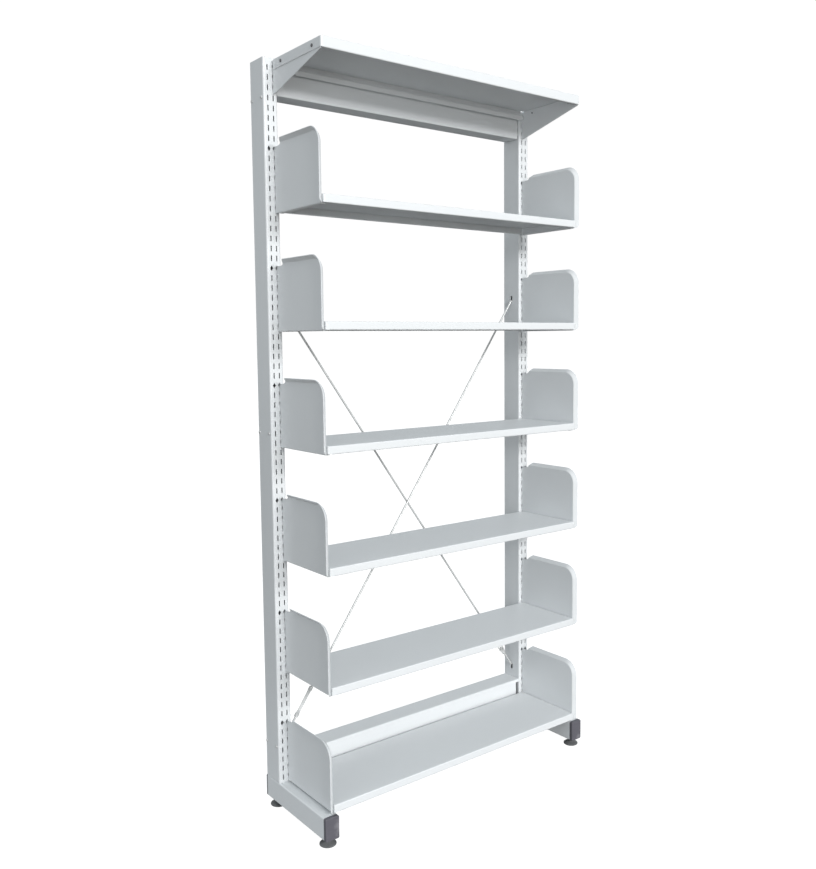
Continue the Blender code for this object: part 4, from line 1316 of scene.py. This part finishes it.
drive_inputs = {"Screw": "NodeSocketObject", "Seed": "NodeSocketInt", "Finish": "NodeSocketMaterial"}
drive, kit, given, drive_ids = new_tree("driven_screws", drive_inputs)
facing = kit.add("GeometryNodeInputNamedAttribute", {"data_type": "FLOAT_VECTOR"}, {"Name": "facing"})
outwards = kit.add("FunctionNodeAlignRotationToVector", {"axis": "Z"}, {"Vector": facing})
# Sockets 2 and 3 of a Random Value node are the limits of its number, and output 1 is that number
angle = kit.add("FunctionNodeRandomValue", {"data_type": "FLOAT"}, {
    2: 0.0, 3: math.tau, "Seed": given["Seed"],
}, output=1)
spin = kit.add("FunctionNodeAxisAngleToRotation", values={"Axis": (0, 0, 1), "Angle": angle})
driven = kit.add("FunctionNodeRotateRotation", {"rotation_space": "LOCAL"}, {
    "Rotation": outwards, "Rotate By": spin,
})
screw_model = kit.add("GeometryNodeObjectInfo", values={"Object": given["Screw"]}, output="Geometry")
screws = kit.add("GeometryNodeInstanceOnPoints", values={
    "Points": given["Geometry"], "Instance": screw_model, "Rotation": driven,
})
end_tree(kit, screws, given["Finish"])


def drive_screws(name, grip, places, body, finish, nodes):
    """One mesh of screws for one body, from (place, facing) pairs."""
    mesh = bpy.data.meshes.new(name)
    mesh.from_pydata([place for place, _ in places], [], [])
    facings = mesh.attributes.new("facing", "FLOAT_VECTOR", "POINT")
    facings.data.foreach_set("vector", [value for _, facing in places for value in facing])
    piece = add_object(name, mesh)
    screw = make_screw(f"{name}_model", grip)
    use_tree(piece, drive, drive_ids, {"Screw": screw, "Seed": SCREW_SEED, "Finish": finish})
    bpy.data.objects.remove(screw)
    finish_piece(piece, finish, body, "zinc", *nodes)
    print(name, "has", len(piece.data.polygons), "faces")


side_places = []
side_nodes = []
canopy_places = []
canopy_nodes = []
for label, side in SIDES:
    outer_x = side * (COLUMN_X + COLUMN_WIDTH / 2)
    for level, z in SIDE_LEVELS.items():
        for end, depth in SIDE_DEPTHS.items():
            side_places.append(((outer_x, COLUMN_FACE + depth, z), (side, 0, 0)))
            side_nodes.append(f"side_screw_{label}_{level}_{end}")
    for end, (along, drop) in CANOPY_SCREWS.items():
        canopy_places.append(((side * CANOPY_END, COLUMN_FACE - along, CANOPY_TOP - drop), (side, 0, 0)))
        canopy_nodes.append(f"canopy_screw_{end}_{label}")
canopy_grip = SHELF_SHEET + FIT + PLATE
drive_screws("rack_side_screws", WALL, side_places, "frame", zinc, side_nodes)
drive_screws("rack_canopy_screws", canopy_grip, canopy_places, "canopy", screw_steel, canopy_nodes)

# %% [markdown]
# ## Brace rods
# Two 6 mm rods cross behind the shelves. Each hooks into a slot high on one column and is drawn tight,
# low on the other, by a turnbuckle between the long rod and a short hook rod. A rod follows a path, so
# Geometry Nodes round the bends of a line, sweep a circle along it and wind a real thread on the end that
# the turnbuckle holds.

# %% Build the rod tree
VECTOR = "NodeSocketVector"
rod_inputs = {"Rod radius": NUMBER, "Bend radius": NUMBER, "Thread start": VECTOR, "Thread along": VECTOR}
rod_inputs |= {"Thread length": NUMBER, "Thread pitch": NUMBER}
rod_tree, kit, size, rod_ids = new_tree("bent_rod", rod_inputs)
path = kit.add("GeometryNodeMeshToCurve", values={"Mesh": size["Geometry"]})
bent = kit.add("GeometryNodeFilletCurve", {"mode": "POLY"}, {
    "Curve": path, "Radius": size["Bend radius"], "Limit Radius": True, "Count": 6,
})
ring = kit.add("GeometryNodeCurvePrimitiveCircle", values={"Resolution": 16, "Radius": size["Rod radius"]})
bar = kit.add("GeometryNodeCurveToMesh", values={"Curve": bent, "Profile Curve": ring, "Fill Caps": True})
turns = kit.math("DIVIDE", size["Thread length"], size["Thread pitch"])
helix = kit.add("GeometryNodeCurveSpiral", values={
    "Resolution": 14, "Rotations": turns, "Height": size["Thread length"],
    "Start Radius": size["Rod radius"], "End Radius": size["Rod radius"],
})
ridge = kit.add("GeometryNodeCurvePrimitiveCircle", values={
    "Resolution": 4, "Radius": size["Thread pitch"] * 0.30,
})
thread = kit.add("GeometryNodeCurveToMesh", values={
    "Curve": helix, "Profile Curve": ridge, "Fill Caps": True,
})
along = kit.add("FunctionNodeAlignRotationToVector", {"axis": "Z"}, {"Vector": size["Thread along"]})
thread = kit.add("GeometryNodeTransform", values={
    "Geometry": thread, "Translation": size["Thread start"], "Rotation": along,
})
whole = kit.add("GeometryNodeJoinGeometry", values={"Geometry": bar})
kit.give(whole.socket.node.inputs["Geometry"], thread)
end_tree(kit, whole, zinc)
print("Rod tree has", len(rod_tree.nodes), "nodes")

# %% [markdown]
# Both braces are drawn from their corner points: the hook's tip, its bend, the crossing and the gap inside
# the turnbuckle. One passes a little in front of the other where they cross, because rods that lay in one
# plane would run through each other.

# %% Bend the rods
# Radius of the bar, which the ridges of the thread stand on
ROD_RADIUS = 0.0029
ROD_BEND = 0.0045
HOOK_X = 0.4275
HOOK_BEND_X = 0.440
HOOK_TIP = Vector((0, 0, 0.0115))
ROD_TOP = 1.4004
ROD_LOW = 0.1926
# How far the rods lie apart from the braces' middle plane, at their ends and where they cross
APART_AT_END = 0.0010
APART_AT_CROSSING = 0.0033
BUCKLE_FROM_END = 0.099
HALF_GAP = 0.018
ROD_THREAD = 0.055
HOOK_THREAD = 0.042

turnbuckle_axes = {}
for name, side in (("front", 1), ("rear", -1)):
    end_y = BRACE_Y - side * APART_AT_END
    crossing = Vector((0, BRACE_Y - side * APART_AT_CROSSING, (ROD_TOP + ROD_LOW) / 2))
    upper = Vector((side * HOOK_X, end_y, ROD_TOP))
    lower = Vector((-side * HOOK_X, end_y, ROD_LOW))
    upper_bend = Vector((side * HOOK_BEND_X, end_y, ROD_TOP))
    lower_bend = Vector((-side * HOOK_BEND_X, end_y, ROD_LOW))
    direction = (crossing - lower).normalized()
    middle = lower + direction * BUCKLE_FROM_END
    rod_end = middle + direction * HALF_GAP
    hook_end = middle - direction * HALF_GAP
    turnbuckle_axes[name] = (middle, direction)
    rod_path = [upper_bend - HOOK_TIP, upper_bend, upper, crossing, rod_end]
    hook_path = [hook_end, lower, lower_bend, lower_bend + HOOK_TIP]
    pieces = (
        ("rod", rod_path, rod_end, direction, ROD_THREAD),
        ("hook", hook_path, hook_end, -direction, HOOK_THREAD),
    )
    for kind, points, thread_start, thread_along, length in pieces:
        mesh = bpy.data.meshes.new(f"rack_brace_{kind}_{name}")
        mesh.from_pydata(points, [(here, here + 1) for here in range(len(points) - 1)], [])
        rod = add_object(mesh.name, mesh)
        sizes = {"Rod radius": ROD_RADIUS, "Bend radius": ROD_BEND, "Thread start": thread_start}
        sizes |= {"Thread along": thread_along, "Thread length": length, "Thread pitch": THREAD_PITCH}
        use_tree(rod, rod_tree, rod_ids, sizes)
        smooth(rod, 50)
        finish_piece(rod, zinc, "frame", "zinc", f"brace_{kind}_{name}")
        print(rod.name, "has", len(rod.data.polygons), "faces")

# %% [markdown]
# ## Turnbuckles
# A turnbuckle is a forged body with a long slot and a round boss at each end, one with a left and one
# with a right thread. Turning it draws the rods together. The body is a plate with rounded corners, a
# Boolean adds the bosses and cuts the slot and the bore, and a bevel softens the forging. Each one
# stopped at its own angle when it was tightened.

# %% Forge the turnbuckles
BUCKLE_HALF = 0.045
BUCKLE_TURNS = {"front": 54, "rear": -25}
# Half width and place of the ends, half width and place of the shoulders, thickness and corner
BODY_PLATE = (0.0050, BUCKLE_HALF - 0.004, 0.0086, BUCKLE_HALF - 0.020, 0.0092, 0.003)
SLOT_PLATE = (0.0030, BUCKLE_HALF - 0.016, 0.0048, BUCKLE_HALF - 0.026, 0.02, 0.002)
BOSS_RINGS = ((0.0050, 0.0), (0.0058, 0.0010), (0.0058, 0.0110), (0.0050, 0.0120))
BOSS_LENGTH = 0.012
BORE_RADIUS = 0.0034
FORGED_EDGE = 0.0006


def buckle_plate(end_half, end_at, middle_half, middle_at, thick, corner):
    """Plate along Z that is wider in its middle than at its ends."""
    quarter = [(end_half, end_at), (middle_half, middle_at)]
    right = quarter + [(x, -z) for x, z in reversed(quarter)]
    outline = eased(right + [(-x, z) for x, z in reversed(right)], corner, closed=True)
    return stack([[(x, y, z) for x, z in outline] for y in (-thick / 2, thick / 2)])


for name, (middle, direction) in turnbuckle_axes.items():
    buckle = to_piece(f"rack_turnbuckle_{name}", buckle_plate(*BODY_PLATE))
    bosses = bmesh.new()
    for start in (-BUCKLE_HALF, BUCKLE_HALF - BOSS_LENGTH):
        boss = [(radius, start + height) for radius, height in BOSS_RINGS]
        turned(boss, 24, Matrix.Identity(4), bosses)
    cut(buckle, bosses, "UNION")
    cut(buckle, buckle_plate(*SLOT_PLATE))
    bore = [(BORE_RADIUS, -2 * BUCKLE_HALF), (BORE_RADIUS, 2 * BUCKLE_HALF)]
    cut(buckle, turned(bore, 24, Matrix.Identity(4)))
    ease_edges(buckle, FORGED_EDGE)
    settle(buckle)
    turned_by = Quaternion((0, 0, 1), math.radians(BUCKLE_TURNS[name]))
    facing = (direction.to_track_quat("Z", "X") @ turned_by).to_matrix().to_4x4()
    buckle.data.transform(Matrix.Translation(middle) @ facing)
    smooth(buckle)
    finish_piece(buckle, zinc, f"turnbuckle_{name}", "zinc", f"turnbuckle_{name}")
    print(buckle.name, "has", len(buckle.data.polygons), "faces")
